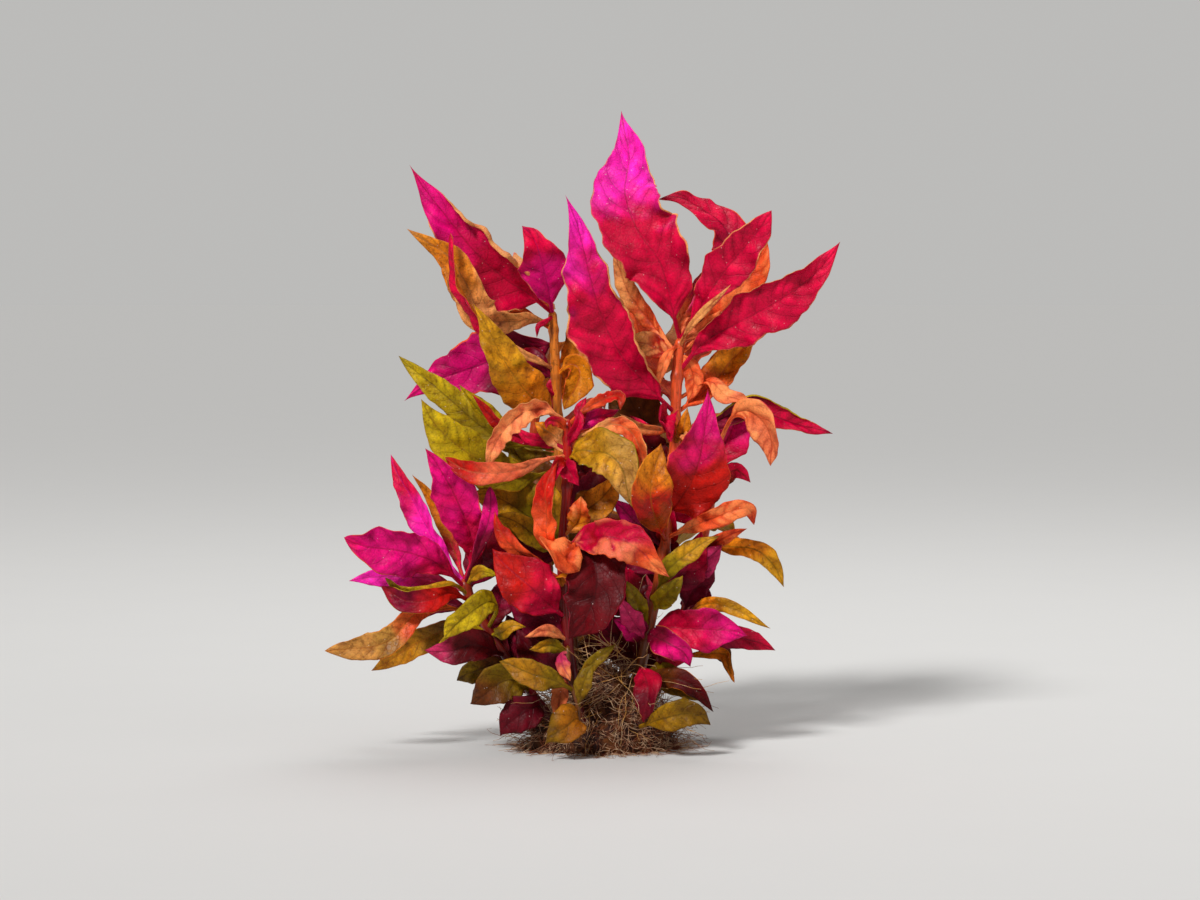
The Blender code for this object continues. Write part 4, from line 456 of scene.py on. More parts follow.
# Dark leaves inside the bunch
leaves("inner", "left_stem", (
    (1, 70, [(-6, 7, 76), (0, 9, 84), (4, 9, 93)], 7.2, "wine dark_red wine"),
    (2, 70, [(15, 2, 77), (9, 4, 84), (4, 4, 88)], 6.0, "amber brown brown", dict(stem="right_stem")),
    (3, 45, [(-4, 5, 50), (2, 7, 57), (5, 7, 65)], 7.5, "dark_red wine wine"),
    (4, 52, [(13, 1, 57), (7, 3, 63), (2, 4, 71)], 7.0, "wine crimson wine", dict(stem="right_stem")),
    (5, 30, [(-14, 6, 35), (-21, 9, 40), (-28, 10, 43)], 7.0, "brown wine brown"),
    (6, 47, [(22, 7, 53), (17, 10, 60), (14, 11, 69)], 7.4, "wine dark_red dark_red",
     dict(stem="far_right_stem")),
    (7, 24, [(13, 7, 28), (7, 9, 33), (2, 10, 41)], 7.0, "dark_red wine wine",
     dict(stem="far_right_stem")),
    (8, 66, [(26, 6, 72), (23, 9, 79), (22, 10, 89)], 7.4, "crimson dark_red wine",
     dict(stem="far_right_stem")),
    (9, 56, [(-17, 8, 60), (-24, 11, 65), (-30, 12, 72)], 7.2, "wine crimson wine"),
    (10, 25, [(-13, 9, 29), (-19, 12, 28), (-27, 13, 22)], 6.0, "olive brown brown"),
    (11, 26, [(8, 0, 31), (2, 2, 36), (-3, 3, 40)], 6.4, "dark_red wine wine", dict(stem="right_stem")),
    (12, 37, [(28, 8, 41), (29.5, 9, 47), (29.5, 9, 54)], 4.6, "wine wine wine",
     dict(stem="far_right_stem")),
    (13, 28, [(-2, 6, 31), (3, 7, 33), (8, 7, 36)], 5.5, "dark_red wine wine"),
    (14, 40, [(11, 0, 44), (5, 0, 50), (1, -1, 58)], 7.4, "dark_red crimson wine",
     dict(stem="right_stem")),
    (15, 35, [(-14, 0, 39), (-20, -2, 46), (-26, -4, 55)], 7.0, "dark_red crimson dark_red"),
    (16, 20, [(-13, -10, 23), (-19, -9, 28), (-26, -8, 36)], 6.0, "wine dark_red wine",
     dict(stem="front_stem")),
    (17, 73, [(26, 0, 79), (32, 0, 86), (38, 0, 95)], 6.6, "crimson crimson red",
     dict(stem="right_stem")),
    (18, 46, [(22, -4, 51), (27, -4, 57), (31, -4, 66)], 6.2, "wine crimson wine",
     dict(stem="right_stem")),
    (19, 76, [(-16, 0, 80), (-22, 0, 85), (-28, 1, 92)], 6.2, "brown olive brown"),
    (20, 66, [(-5, -9, 71), (1, -8, 76), (6, -8, 83)], 5.6, "brown amber brown",
     dict(stem="front_stem")),
    (21, 14, [(-8, 6, 20), (-5, 4, 26), (-3, 3, 33)], 5.4, "brown dark_red brown",
     dict(stem="back_left_stem")),
    (22, 61, [(14, -4, 65), (9, -6, 70), (3.5, -7, 76)], 3.6, "wine magenta wine",
     dict(stem="right_stem"))), belly=0.45)

# Crown leaves that lean to the back
leaves("rear_crown", "right_stem", (
    (1, 121, [(25, 8, 130), (23.5, 18, 142), (20, 26, 158)], 8.6, "crimson pink peach",
     dict(facing=(-0.6, 0.7, 0.3))),
    (2, 112, [(28, 7, 119), (34, 16, 128), (38, 23, 141)], 7.8, "crimson magenta coral",
     dict(facing=(0.6, 0.7, 0.3))),
    (3, 130, [(-16.5, 9, 136), (-21, 18, 143), (-27, 25, 150)], 7.6, "magenta pink peach",
     dict(stem="left_stem", facing=(-0.6, 0.7, 0.3))),
    (4, 103, [(18, 7, 111), (12, 16, 122), (8, 23, 137)], 8.4, "crimson magenta coral",
     dict(facing=(-0.6, 0.7, 0.3))),
    (5, 112, [(-10, 10, 118), (-7.5, 19, 127), (-8, 26, 138)], 7.0, "crimson pink peach",
     dict(stem="left_stem", facing=(0.6, 0.7, 0.3)))), belly=0.45)

# The colours of a back stem's leaves at base, tip and underside, from node to node
BACK_COLOURS = ("brown olive brown", "wine crimson wine", "olive amber ochre", "red coral coral",
                "crimson red coral", "amber coral amber", "magenta pink peach")


def pair_up_back_stem(stem, heights, outward):
    """The leaves of a stem at the back, in opposite pairs that turn by a quarter from node to node.

    The ones that would point into the bunch are left out. Outward is -1 on the left, 1 on the right.
    """
    number = 0
    for k, at in enumerate(heights):
        share = at / BACK_TOP
        spread = 80 - 42 * share
        turns = (spread * outward, -spread * 0.8 * outward) if k % 2 == 0 else (14 * (-1) ** (k // 2),)
        for turn in turns:
            number += 1
            way = Vector((math.sin(math.radians(turn)), math.cos(math.radians(turn)), 0))
            reach = BACK_REACH + 5 * math.sin(1.7 * k + turn)
            foot = stem_point(stem, at)
            path = [tuple(foot + way * reach * out + Vector((0, 0, reach * (lift + climb * share))))
                    for out, lift, climb in ((0.3, 0.12, 0.22), (0.62, 0.06, 0.62), (0.92, -0.3, 1.2))]
            side = Vector((outward * (1 if abs(turn) < 20 else 0), 0, 0))
            half = BACK_HALF + 1.2 * math.sin(2.3 * k + turn)
            leaf(stem.replace("stem", "leaf_") + str(number), at, path, half,
                 BACK_COLOURS[k % len(BACK_COLOURS)], stem, belly=0.48, seen=False,
                 facing=tuple(way * 0.8 + side + Vector((0, 0, 0.6))))



def linear(code):
    """The linear RGBA colour of an sRGB hex code."""
    parts = [int(code[i:i + 2], 16) / 255 for i in (0, 2, 4)]
    return [c / 12.92 if c <= 0.04045 else ((c + 0.055) / 1.055) ** 2.4 for c in parts] + [1.0]


# The living plant's colours as sRGB hex, with the words that the sidebar shows
PALETTE = {
    "magenta": ("D4026C", "Hot magenta of the youngest blades"),
    "pink": ("F41EA8", "Bright pink of the crown's tips"),
    "rose": ("CC2C64", "Dusty rose of shaded blades"),
    "crimson": ("C40036", "Crimson of the grown blades"),
    "wine": ("720024", "Wine red of blades inside the bunch"),
    "dark_red": ("560008", "Dark red of old stems and blades"),
    "red": ("B01208", "Plain red of the curled blades"),
    "coral": ("E65426", "Coral of the undersides and bent blades"),
    "salmon": ("EC7A4C", "Salmon of the palest undersides"),
    "peach": ("EA9A58", "Peach of the rolled margins"),
    "amber": ("D87A10", "Amber of ageing blades"),
    "ochre": ("BC8212", "Ochre between amber and olive"),
    "yellow": ("B89A0C", "Olive yellow of the lowest blades"),
    "olive": ("8A7206", "Olive of submerged blades"),
    "tan": ("C08840", "Tan of dry tips"),
    "brown": ("64340A", "Olive brown of dim blades"),
    "stem_orange": ("DC7C24", "Orange of the upper stems"),
    "fleck": ("4A2408", "Brown of the flecks on ageing blades"),
    "root_dark": ("2C0A04", "Dark brown of the mat's core"),
    "root_tan": ("74361A", "Tan of the root fibres"),
    "root_pale": ("D0AC88", "Pale tan of the newest root fibres"),
    "dust": ("F0D8D0", "Pale dust on the blades"),
    # Painted shade: the tint that darkens the lowest blades towards the foot
    "silt": ("C8A896", "Tint of the silt on the lowest blades"),
    # Painted shade: the tint that darkens the troughs of the blades' relief
    "hollow": ("AD8695", "Tint of the hollows between the blades' puckers"),
    "floor": ("D8D7D5", "Pale floor"),
}


class PlantColours(bpy.types.PropertyGroup):
    """The colours of the blades, stems and roots."""


PlantColours.__annotations__ = {
    name: FloatVectorProperty(name=name.replace("_", " ").capitalize(), description=words, subtype="COLOR",
                              size=4, min=0.0, max=1.0, default=linear(code))
    for name, (code, words) in PALETTE.items()}


class BladeSizes(bpy.types.PropertyGroup):
    """The fine sizes of the leaf blades."""

    step: FloatProperty(name="Mesh step", description="Distance between the blade's mesh points",
                        default=0.8 * MM, min=0.3 * MM, unit="LENGTH", subtype="DISTANCE")
    thickness: FloatProperty(name="Blade thickness", description="Thickness of a blade beside its midrib",
                             default=0.34 * MM, min=0.1 * MM, unit="LENGTH", subtype="DISTANCE")
    rib: FloatProperty(name="Midrib height", description="How far the midrib stands out of the underside",
                       default=0.45 * MM, min=0.0, unit="LENGTH", subtype="DISTANCE")
    vein_spacing: FloatProperty(name="Vein spacing", description="Distance between side veins",
                                default=5.2 * MM, min=1.0 * MM, unit="LENGTH", subtype="DISTANCE")
    pucker: FloatProperty(name="Pucker", description="How high the blade bulges between its side veins",
                          default=0.36 * MM, min=0.0, unit="LENGTH", subtype="DISTANCE")
    ripple: FloatProperty(name="Ripple", description="Share of its half width that a margin waves by",
                          default=0.2, min=0.0, max=0.5, subtype="FACTOR")
    crumple: FloatProperty(name="Crumple", description="How high a blade's creases stand above its hollows",
                           default=1.1 * MM, min=0.0, unit="LENGTH", subtype="DISTANCE")
    lobes: FloatProperty(name="Lobes", description="Share of its half width that a margin is cut in by",
                         default=0.14, min=0.0, max=0.4, subtype="FACTOR")


class StemSizes(bpy.types.PropertyGroup):
    """The fine sizes of the stems."""

    step: FloatProperty(name="Ring step", description="Distance between the rings of a stem's mesh",
                        default=0.7 * MM, min=0.2 * MM, unit="LENGTH", subtype="DISTANCE")
    sides: IntProperty(name="Sides", description="Faces round a stem", default=18, min=6)
    swelling: FloatProperty(name="Joint swelling", description="How much thicker a stem is at a joint",
                            default=0.2, min=0.0, max=1.0, subtype="FACTOR")


class RootSizes(bpy.types.PropertyGroup):
    """The sizes of the root mat's fibres."""

    count: IntProperty(name="Fibres", description="Roots that grow out of the mat", default=1900, min=10)
    length: FloatProperty(name="Fibre length", description="Length of the longest fibre", default=13 * MM,
                          min=1 * MM, unit="LENGTH", subtype="DISTANCE")
    radius: FloatProperty(name="Fibre radius", description="Radius of a fibre where it starts",
                          default=0.13 * MM, min=0.03 * MM, unit="LENGTH", subtype="DISTANCE")
    wander: FloatProperty(name="Wander", description="How far a fibre strays from a straight line",
                          default=6.0 * MM, min=0.0, unit="LENGTH", subtype="DISTANCE")
    stray_count: IntProperty(name="Stray roots", description="Long pale roots above the mat", default=170,
                             min=10)
    stray_length: FloatProperty(name="Stray length", description="Length of the longest stray root",
                                default=27 * MM, min=1 * MM, unit="LENGTH", subtype="DISTANCE")
    stray_radius: FloatProperty(name="Stray radius", description="Radius of a stray root where it starts",
                                default=0.13 * MM, min=0.03 * MM, unit="LENGTH", subtype="DISTANCE")
    stray_wander: FloatProperty(name="Stray wander", description="How far a stray root bends off its line",
                                default=2.4 * MM, min=0.0, unit="LENGTH", subtype="DISTANCE")
    seed: IntProperty(name="Seed", description="Changes every random choice of the roots", default=7, min=0)


class StageSizes(bpy.types.PropertyGroup):
    """The camera's and the floor's sizes."""

    distance: FloatProperty(name="Camera distance", description="From the camera to the bunch's middle",
                            default=EYE_DISTANCE * MM, min=0.2, unit="LENGTH", subtype="DISTANCE")
    elevation: FloatProperty(name="Camera elevation", description="How far the camera looks down",
                             default=EYE_TILT, unit="ROTATION", subtype="ANGLE")
    lens: FloatProperty(name="Lens", description="Focal length in millimetres", default=100.0, min=20.0)
    floor: FloatProperty(name="Floor width", description="Width of the floor", default=30.0, min=0.5,
                         unit="LENGTH", subtype="DISTANCE")


def colour(name):
    """A colour of the plant, as it is set in the sidebar."""
    return tuple(getattr(bpy.context.scene.plant_colours, name))


def shade(name, factor):
    """A colour of the plant made darker or lighter."""
    return tuple(min(c * factor, 1.0) for c in colour(name)[:3]) + (1.0,)


def add(tree, kind, settings=None, **links):
    """A new node, its settings by name and its inputs by number or name, as values or as sockets."""
    node = tree.nodes.new(kind)
    for key, value in (settings or {}).items():
        setattr(node, key, value)
    for key, value in links.items():
        socket = node.inputs[int(key[1:])] if key[1:].isdigit() else node.inputs[key.replace("_", " ")]
        if isinstance(value, bpy.types.NodeSocket):
            tree.links.new(value, socket)
        else:
            socket.default_value = value
    return node


def per_mm(size):
    """The scale of a pattern whose features are this many millimetres apart."""
    return 1 / (size * MM)


def blank_material(name, rough, shine=0.5, inner=0.0):
    """A new material, its tree, its shader and its place in the object.

    Rough is its roughness, shine its specular level and inner the share of light that goes under it.
    """
    material = bpy.data.materials.new(name)
    material.use_nodes = True
    tree = material.node_tree
    tree.nodes.clear()
    shader = add(tree, "ShaderNodeBsdfPrincipled")
    shader.inputs["Roughness"].default_value = rough
    shader.inputs["Specular IOR Level"].default_value = shine
    shader.inputs["IOR"].default_value = WET_IOR
    shader.inputs["Subsurface Weight"].default_value = inner
    shader.inputs["Subsurface Radius"].default_value = UNDER_SKIN
    shader.inputs["Subsurface Scale"].default_value = UNDER_SKIN_DEPTH * MM
    add(tree, "ShaderNodeOutputMaterial", i0=shader.outputs[0])
    place = add(tree, "ShaderNodeTexCoord").outputs["Object"]
    return material, tree, shader, place


def coat(tree, shader, skin, relief=None, strength=1.0, depth=1.0):
    """Give a shader its colour, and its relief with a strength and a depth in millimetres."""
    tree.links.new(skin, shader.inputs["Base Color"])
    if relief is not None:
        bump = add(tree, "ShaderNodeBump", Strength=strength, Distance=depth * MM, Height=relief)
        tree.links.new(bump.outputs[0], shader.inputs["Normal"])


def mixed(tree, factor, first, second, way="MIX"):
    """The colour between two, by a factor."""
    node = add(tree, "ShaderNodeMix", {"data_type": "RGBA", "blend_type": way}, i0=factor, i6=first,
               i7=second)
    return node.outputs[2]


def sloped(tree, value, low, high, start=0.0, end=1.0):
    """A value eased from start to end as it goes from low to high."""
    node = add(tree, "ShaderNodeMapRange", {"interpolation_type": "SMOOTHSTEP"},
               i0=value, i1=low, i2=high, i3=start, i4=end)
    return node.outputs[0]


def math_of(tree, way, first, second):
    """Two values put together by a math operation."""
    return add(tree, "ShaderNodeMath", {"operation": way}, i0=first, i1=second).outputs[0]


def times(tree, first, second):
    """The product of two values."""
    return math_of(tree, "MULTIPLY", first, second)


def laid(tree, base, over, value, low, high, share=1.0, way="MIX"):
    """A colour laid over another, from none to its share as a value goes from low to high."""
    return mixed(tree, sloped(tree, value, low, high, 0.0, share), base, over, way)


def speckle(tree, place, size, detail=3.0):
    """Noise with features of a size in millimetres."""
    return add(tree, "ShaderNodeTexNoise", i0=place, Scale=per_mm(size), Detail=detail).outputs[0]


# The name of the map that runs along and across a blade
BLADE_MAP = "blade"
# The tip colours of the blades that age in brown flecks, and of those that get painted red shade in
# the troughs of their creases and a painted peach highlight on the ridges, with how strong that
# highlight is
AGEING = ("amber", "ochre", "yellow", "olive", "tan", "brown", "peach")
PAINTED_CREASE_LIGHT = {"salmon": 0.55, "peach": 0.55, "coral": 0.4}


def blade_material(top, under):
    """A living leaf blade: a thin skin of cells over red or olive sap, grown, satin where it is wet.

    The eye sees its colour run from base to tip, fine darker veins, mottling where it ages and a rolled
    margin that shows the underside. Painted highlights on the bulges between the veins, on its
    puckers and crease ridges and past its middle, and painted shade in its troughs, stand in for the
    light on its relief.
    """
    name = "Leaf blade, {} to {}, {} below".format(top[0], top[1], under)
    if name in bpy.data.materials:
        return bpy.data.materials[name]
    ageing = top[1] in AGEING
    material, tree, shader, place = blank_material(name, 0.46, 0.2, 0.06)
    blade = add(tree, "ShaderNodeUVMap", {"uv_map": BLADE_MAP}).outputs[0]
    along = add(tree, "ShaderNodeSeparateXYZ", i0=blade).outputs[0]
    vein, rib, ridge, margin, below = (
        add(tree, "ShaderNodeAttribute", {"attribute_name": key}).outputs["Fac"]
        for key in ("vein", "rib", "ridge", "margin", "below"))
    clouds = speckle(tree, place, 14.0, 2.0)
    patches = speckle(tree, place, 4.0, 4.0)
    mottle = speckle(tree, place, 1.3, 5.0)
    grain = speckle(tree, place, 0.6, 2.0)

    # The fine net between the side veins, drawn coarser than life so that it shows
    net = add(tree, "ShaderNodeTexVoronoi", {"feature": "DISTANCE_TO_EDGE"}, i0=place,
              Scale=per_mm(NET_CELL))
    net_line = sloped(tree, net.outputs[0], 0.0, 0.1, 1.0, 0.0)
    between = math_of(tree, "PINGPONG", vein, 0.5)
    side_line = sloped(tree, between, 0.01, 0.06, 1.0, 0.0)
    mid_line = sloped(tree, rib, 0.1, 0.42, 1.0, 0.0)

    # The upper side: deep at the base, brightest past the middle and deep again at the tip, with painted
    # light and shade on its relief
    run = math_of(tree, "ADD", along, times(tree, math_of(tree, "SUBTRACT", clouds, 0.5), 0.8))
    upper = laid(tree, colour(top[0]), colour(top[1]), run, 0.38, 0.74)
    upper = laid(tree, upper, shade(top[0], 0.85), run, 0.9, 1.14, 0.6)
    # Painted highlight: past the middle, the high patches of the relief turn a paler tip colour
    painted_glow = times(tree, sloped(tree, run, 0.5, 0.8), sloped(tree, patches, 0.5, 0.66, 0.0, 0.32))
    upper = mixed(tree, painted_glow, upper, shade(top[1], 1.5))
    # Painted shade: the low patches of the relief are darkened by the shade tint
    upper = laid(tree, upper, colour("hollow"), patches, 0.5, 0.36, 0.4, "MULTIPLY")
    # Painted highlight on the bulges between the side veins
    upper = laid(tree, upper, upper, between, 0.1, 0.5, 0.12, "ADD")
    if ageing:
        upper = laid(tree, upper, colour("olive"), clouds, 0.44, 0.66, 0.25)
        upper = laid(tree, upper, colour("fleck"), mottle, 0.52, 0.68, 0.45)
    for line, share, over in ((net_line, 0.1, shade(top[0], 0.4)), (side_line, 0.24, shade(top[0], 0.4)),
                              (mid_line, 0.5, shade(under if ageing else top[0], 0.5))):
        upper = mixed(tree, times(tree, line, share), upper, over)
    # Painted shade in the troughs of the creases and puckers, and painted highlight on their ridges
    upper = laid(tree, upper, colour("hollow"), ridge, 0.0, -0.55, 0.55, "MULTIPLY")
    upper = laid(tree, upper, upper, ridge, 0.1, 0.8, 0.4, "ADD")
    # Painted red shade in the troughs and painted peach highlight on the ridges of the pale creased blades
    if top[1] in PAINTED_CREASE_LIGHT:
        upper = laid(tree, upper, colour("red"), ridge, 0.0, -0.5, 0.45)
        upper = laid(tree, upper, shade("peach", 1.2), ridge, 0.05, 0.5, PAINTED_CREASE_LIGHT[top[1]])
    edge = times(tree, sloped(tree, margin, 0.93, 0.98), sloped(tree, clouds, 0.5, 0.6))
    edge = math_of(tree, "MAXIMUM", edge, sloped(tree, margin, 0.965, 0.99, 0.0, 0.3))
    upper = mixed(tree, edge, upper, shade(under, 1.1))

    # The underside, with its veins standing pale and painted light and shade on its relief
    lower = laid(tree, colour(under), shade(under, 0.7), clouds, 0.35, 0.7)
    lower = laid(tree, lower, shade(top[0], 0.9), patches, 0.5, 0.72, 0.35)
    # Painted shade where the relief rises away from the underside, and painted highlight where it bulges
    # out below
    lower = laid(tree, lower, shade(top[0], 0.7), ridge, 0.0, 0.7, 0.4)
    lower = laid(tree, lower, shade(under, 1.5), ridge, 0.0, -0.5, 0.3)
    for line, share, factor in ((net_line, 0.12, 1.4), (side_line, 0.3, 1.6), (mid_line, 0.55, 1.7)):
        lower = mixed(tree, times(tree, line, share), lower, shade(under, factor))

    skin = laid(tree, upper, lower, below, 0.4, 0.6)
    skin = laid(tree, skin, BLACK, grain, 0.35, 0.75, 0.22)

    # Painted shade darkens the lowest blades towards the foot, and every blade has tiny pale specks of
    # settled dust
    height = add(tree, "ShaderNodeSeparateXYZ", i0=place).outputs[2]
    fully_shaded, unshaded = (h * MM for h in FOOT_SHADE_HEIGHTS)
    skin = laid(tree, skin, colour("silt"), height, unshaded, fully_shaded, 1.0, "MULTIPLY")
    dust = add(tree, "ShaderNodeTexVoronoi", {"feature": "F1"}, i0=place, Scale=per_mm(DUST_SPACE))
    skin = laid(tree, skin, colour("dust"), dust.outputs[0], 0.08, 0.045, 0.35)
    tree.links.new(sloped(tree, patches, 0.3, 0.7, 0.38, 0.6), shader.inputs["Roughness"])
    relief = mottle
    for line, share in ((net_line, -0.45), (side_line, -0.8), (patches, 1.6)):
        relief = math_of(tree, "ADD", relief, times(tree, line, share))
    coat(tree, shader, skin, relief, 0.55, 0.22)
    return material


def stem_material(low, high):
    """A juicy plant stem: smooth skin over wet pith, grown in joints.

    The eye sees streaks along it, redder joints, brown spots and a wet gleam.
    """
    name = "Stem skin, {} to {}".format(low, high)
    if name in bpy.data.materials:
        return bpy.data.materials[name]
    material, tree, shader, place = blank_material(name, 0.34, 0.5, 0.15)
    height = add(tree, "ShaderNodeSeparateXYZ", i0=place).outputs[2]
    joint = add(tree, "ShaderNodeAttribute", {"attribute_name": "joint"}).outputs["Fac"]
    drawn = add(tree, "ShaderNodeMapping", i0=place)
    drawn.inputs["Scale"].default_value = (1.0, 1.0, 0.12)
    streaks = speckle(tree, drawn.outputs[0], 0.7, 3.0)
    spots = speckle(tree, place, 1.1, 3.0)
    skin = laid(tree, colour(low), colour(high), height, *(h * MM for h in STEM_TURN))
    skin = laid(tree, skin, shade(low, 0.8), streaks, 0.42, 0.68, 0.5)
    skin = laid(tree, skin, colour("dark_red"), joint, 0.25, 0.9, 0.32)
    skin = laid(tree, skin, colour("fleck"), spots, 0.6, 0.7, 0.5)
    coat(tree, shader, skin, streaks, 0.4, 0.15)
    return material


def root_material(name, dark, pale, grain):
    """Living roots and old root mass: thin tubes, matt when matted together.

    The eye sees tan threads that differ from each other over a nearly black core. Grain is the size
    of the tufts that share a colour, in millimetres.
    """
    material, tree, shader, place = blank_material(name, 0.7, 0.35)
    tufts = speckle(tree, place, grain, 3.0)
    fine = speckle(tree, place, grain * 0.3, 2.0)
    skin = laid(tree, colour(dark), colour(pale), tufts, 0.38, 0.68)
    skin = laid(tree, skin, shade(dark, 0.5), fine, 0.4, 0.7, 0.45)
    coat(tree, shader, skin, fine, 0.6, 0.3)
    return material


def curve_point(points, t):
    """The point at t, from 0 to 1, of a smooth curve through the points."""
    last = len(points) - 1
    place = min(max(t, 0.0), 1.0) * last
    i = min(int(place), last - 1)
    s = place - i
    p1, p2 = points[i], points[i + 1]
    p0 = points[i - 1] if i > 0 else p1 * 2 - p2
    p3 = points[i + 2] if i + 2 <= last else p2 * 2 - p1
    return 0.5 * (2 * p1 + (p2 - p0) * s + (2 * p0 - 5 * p1 + 4 * p2 - p3) * s ** 2
                  + (3 * p1 - p0 - 3 * p2 + p3) * s ** 3)


def even_line(points, samples):
    """Points at even steps of length along the smooth curve through the points, and its length."""
    points = [np.array(p, float) for p in points]
    fine = np.array([curve_point(points, i / (samples * 4)) for i in range(samples * 4 + 1)])
    run = np.concatenate([[0.0], np.cumsum(np.linalg.norm(np.diff(fine, axis=0), axis=1))])
    goals = np.linspace(0.0, run[-1], samples + 1)
    return np.stack([np.interp(goals, run, fine[:, k]) for k in range(3)], axis=1), run[-1]


def stem_point(name, height):
    """The point of a stem's axis at a height."""
    line, _ = even_line(STEMS[name].path, PATH_SAMPLES)
    return Vector([float(np.interp(height, line[:, 2], line[:, k])) for k in range(3)])


def unit(rows):
    """Rows of vectors made one long."""
    return rows / np.maximum(np.linalg.norm(rows, axis=-1, keepdims=True), 1e-12)


def carried_normals(line, facing):
    """The tangents of a line and the normals that face a way at its middle, carried along untwisted."""
    ahead = unit(np.gradient(line, axis=0))
    normals = np.zeros_like(line)
    middle = len(line) // 2
    facing = np.array(facing, float)
    normals[middle] = unit(facing - ahead[middle] * facing.dot(ahead[middle]))
    for step in (1, -1):
        i = middle
        while 0 <= i + step < len(line):
            kept = normals[i] - ahead[i + step] * normals[i].dot(ahead[i + step])
            normals[i + step] = unit(kept)
            i += step
    return ahead, normals


def half_widths(leaf, t):
    """The blade's half width along it: a thin petiole, then a lance that is drawn out to its tip."""
    s = np.clip((t - leaf.petiole) / (1 - leaf.petiole), 0.0, 1.0)
    rise, fall = LANCE * leaf.belly, LANCE * (1 - leaf.belly)
    lance = s ** rise * (1 - s) ** fall / (leaf.belly ** rise * (1 - leaf.belly) ** fall)
    return np.maximum(leaf.half * lance, PETIOLE_HALF_WIDTH * np.sqrt(1 - s))


def blend3(values, t):
    """Values between the three given for base, middle and tip."""
    return np.interp(t, (0.0, 0.5, 1.0), values)


def sway_of(leaf):
    """How far the leaf's solid sways forward or back from its drawn midrib, read from the solid's tip."""
    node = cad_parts[leaf.stem if leaf.fused else leaf.name]
    points = np.empty(len(node.data.vertices) * 3, np.float32)
    node.data.vertices.foreach_get("co", points)
    points = points.reshape(-1, 3) / MM
    tip = np.array(leaf.path[-1], float)
    near = np.hypot(points[:, 0] - tip[0], points[:, 2] - tip[2]) < TIP_SEARCH
    if not near.any():
        return 0.0
    offsets = points[near, 1] - tip[1]
    return float(round(offsets[np.abs(offsets).argmin()]))


def midrib_axes(leaf, line, t):
    """The midrib's points at t, with the ways across the blade and up from it there."""
    place = np.linspace(0.0, 1.0, len(line))
    centre, forward, upward = (np.stack([np.interp(t, place, rows[:, k]) for k in range(3)], axis=1)
                               for rows in (line, *carried_normals(line, leaf.facing)))
    forward = unit(forward)
    upward = unit(upward - forward * (upward * forward).sum(1, keepdims=True))
    side = np.cross(forward, upward)
    roll = np.radians(blend3(leaf.roll, t))[:, None]
    return (centre, side * np.cos(roll) + upward * np.sin(roll),
            upward * np.cos(roll) - side * np.sin(roll))


def section(fold, curl, v):
    """How far across and how high a blade's section reaches at v, summed from the midrib outwards."""
    across, lift = np.zeros_like(curl), np.zeros_like(curl)
    for part in (np.arange(SECTION_PARTS) + 0.5) / SECTION_PARTS:
        angle = fold + curl * (v * part) ** 3
        across += np.cos(angle) * v / SECTION_PARTS
        lift += np.sin(angle) * v / SECTION_PARTS
    return across, lift


def crease_relief(rng, run, x, creased):
    """The creases of a blade at points that lie run along it and x across it, each turned its own way."""
    relief = np.zeros_like(x)
    for wavelength, height, finer in CREASES:
        height *= 1 + finer * (creased - 1)
        for _ in range(3):
            turned_by = rng.uniform(0, math.pi)
            phase = (run * math.cos(turned_by) + x * math.sin(turned_by)) * math.pi / wavelength
            relief = relief + height / 3 * (np.abs(np.sin(phase + rng.uniform(0, math.pi))) - 0.6)
    return relief


def two_skins(rows, columns):
    """The faces of two skins with these rows and columns of faces, joined round their rim."""
    count = (rows + 1) * (columns + 1)
    index = np.arange(count).reshape(rows + 1, columns + 1)
    corners = (index[:-1, :-1], index[:-1, 1:], index[1:, 1:], index[1:, :-1])
    quads = np.stack(corners, axis=-1).reshape(-1, 4)
    border = np.concatenate([index[0, :], index[1:, -1], index[-1, -2::-1], index[-2::-1, 0]])
    ring = np.stack([border[:-1], border[1:]], axis=1)
    rim = np.stack([ring[:, 1], ring[:, 0], ring[:, 0] + count, ring[:, 1] + count], axis=1)
    return np.concatenate([quads, quads[:, ::-1] + count, rim]).tolist()


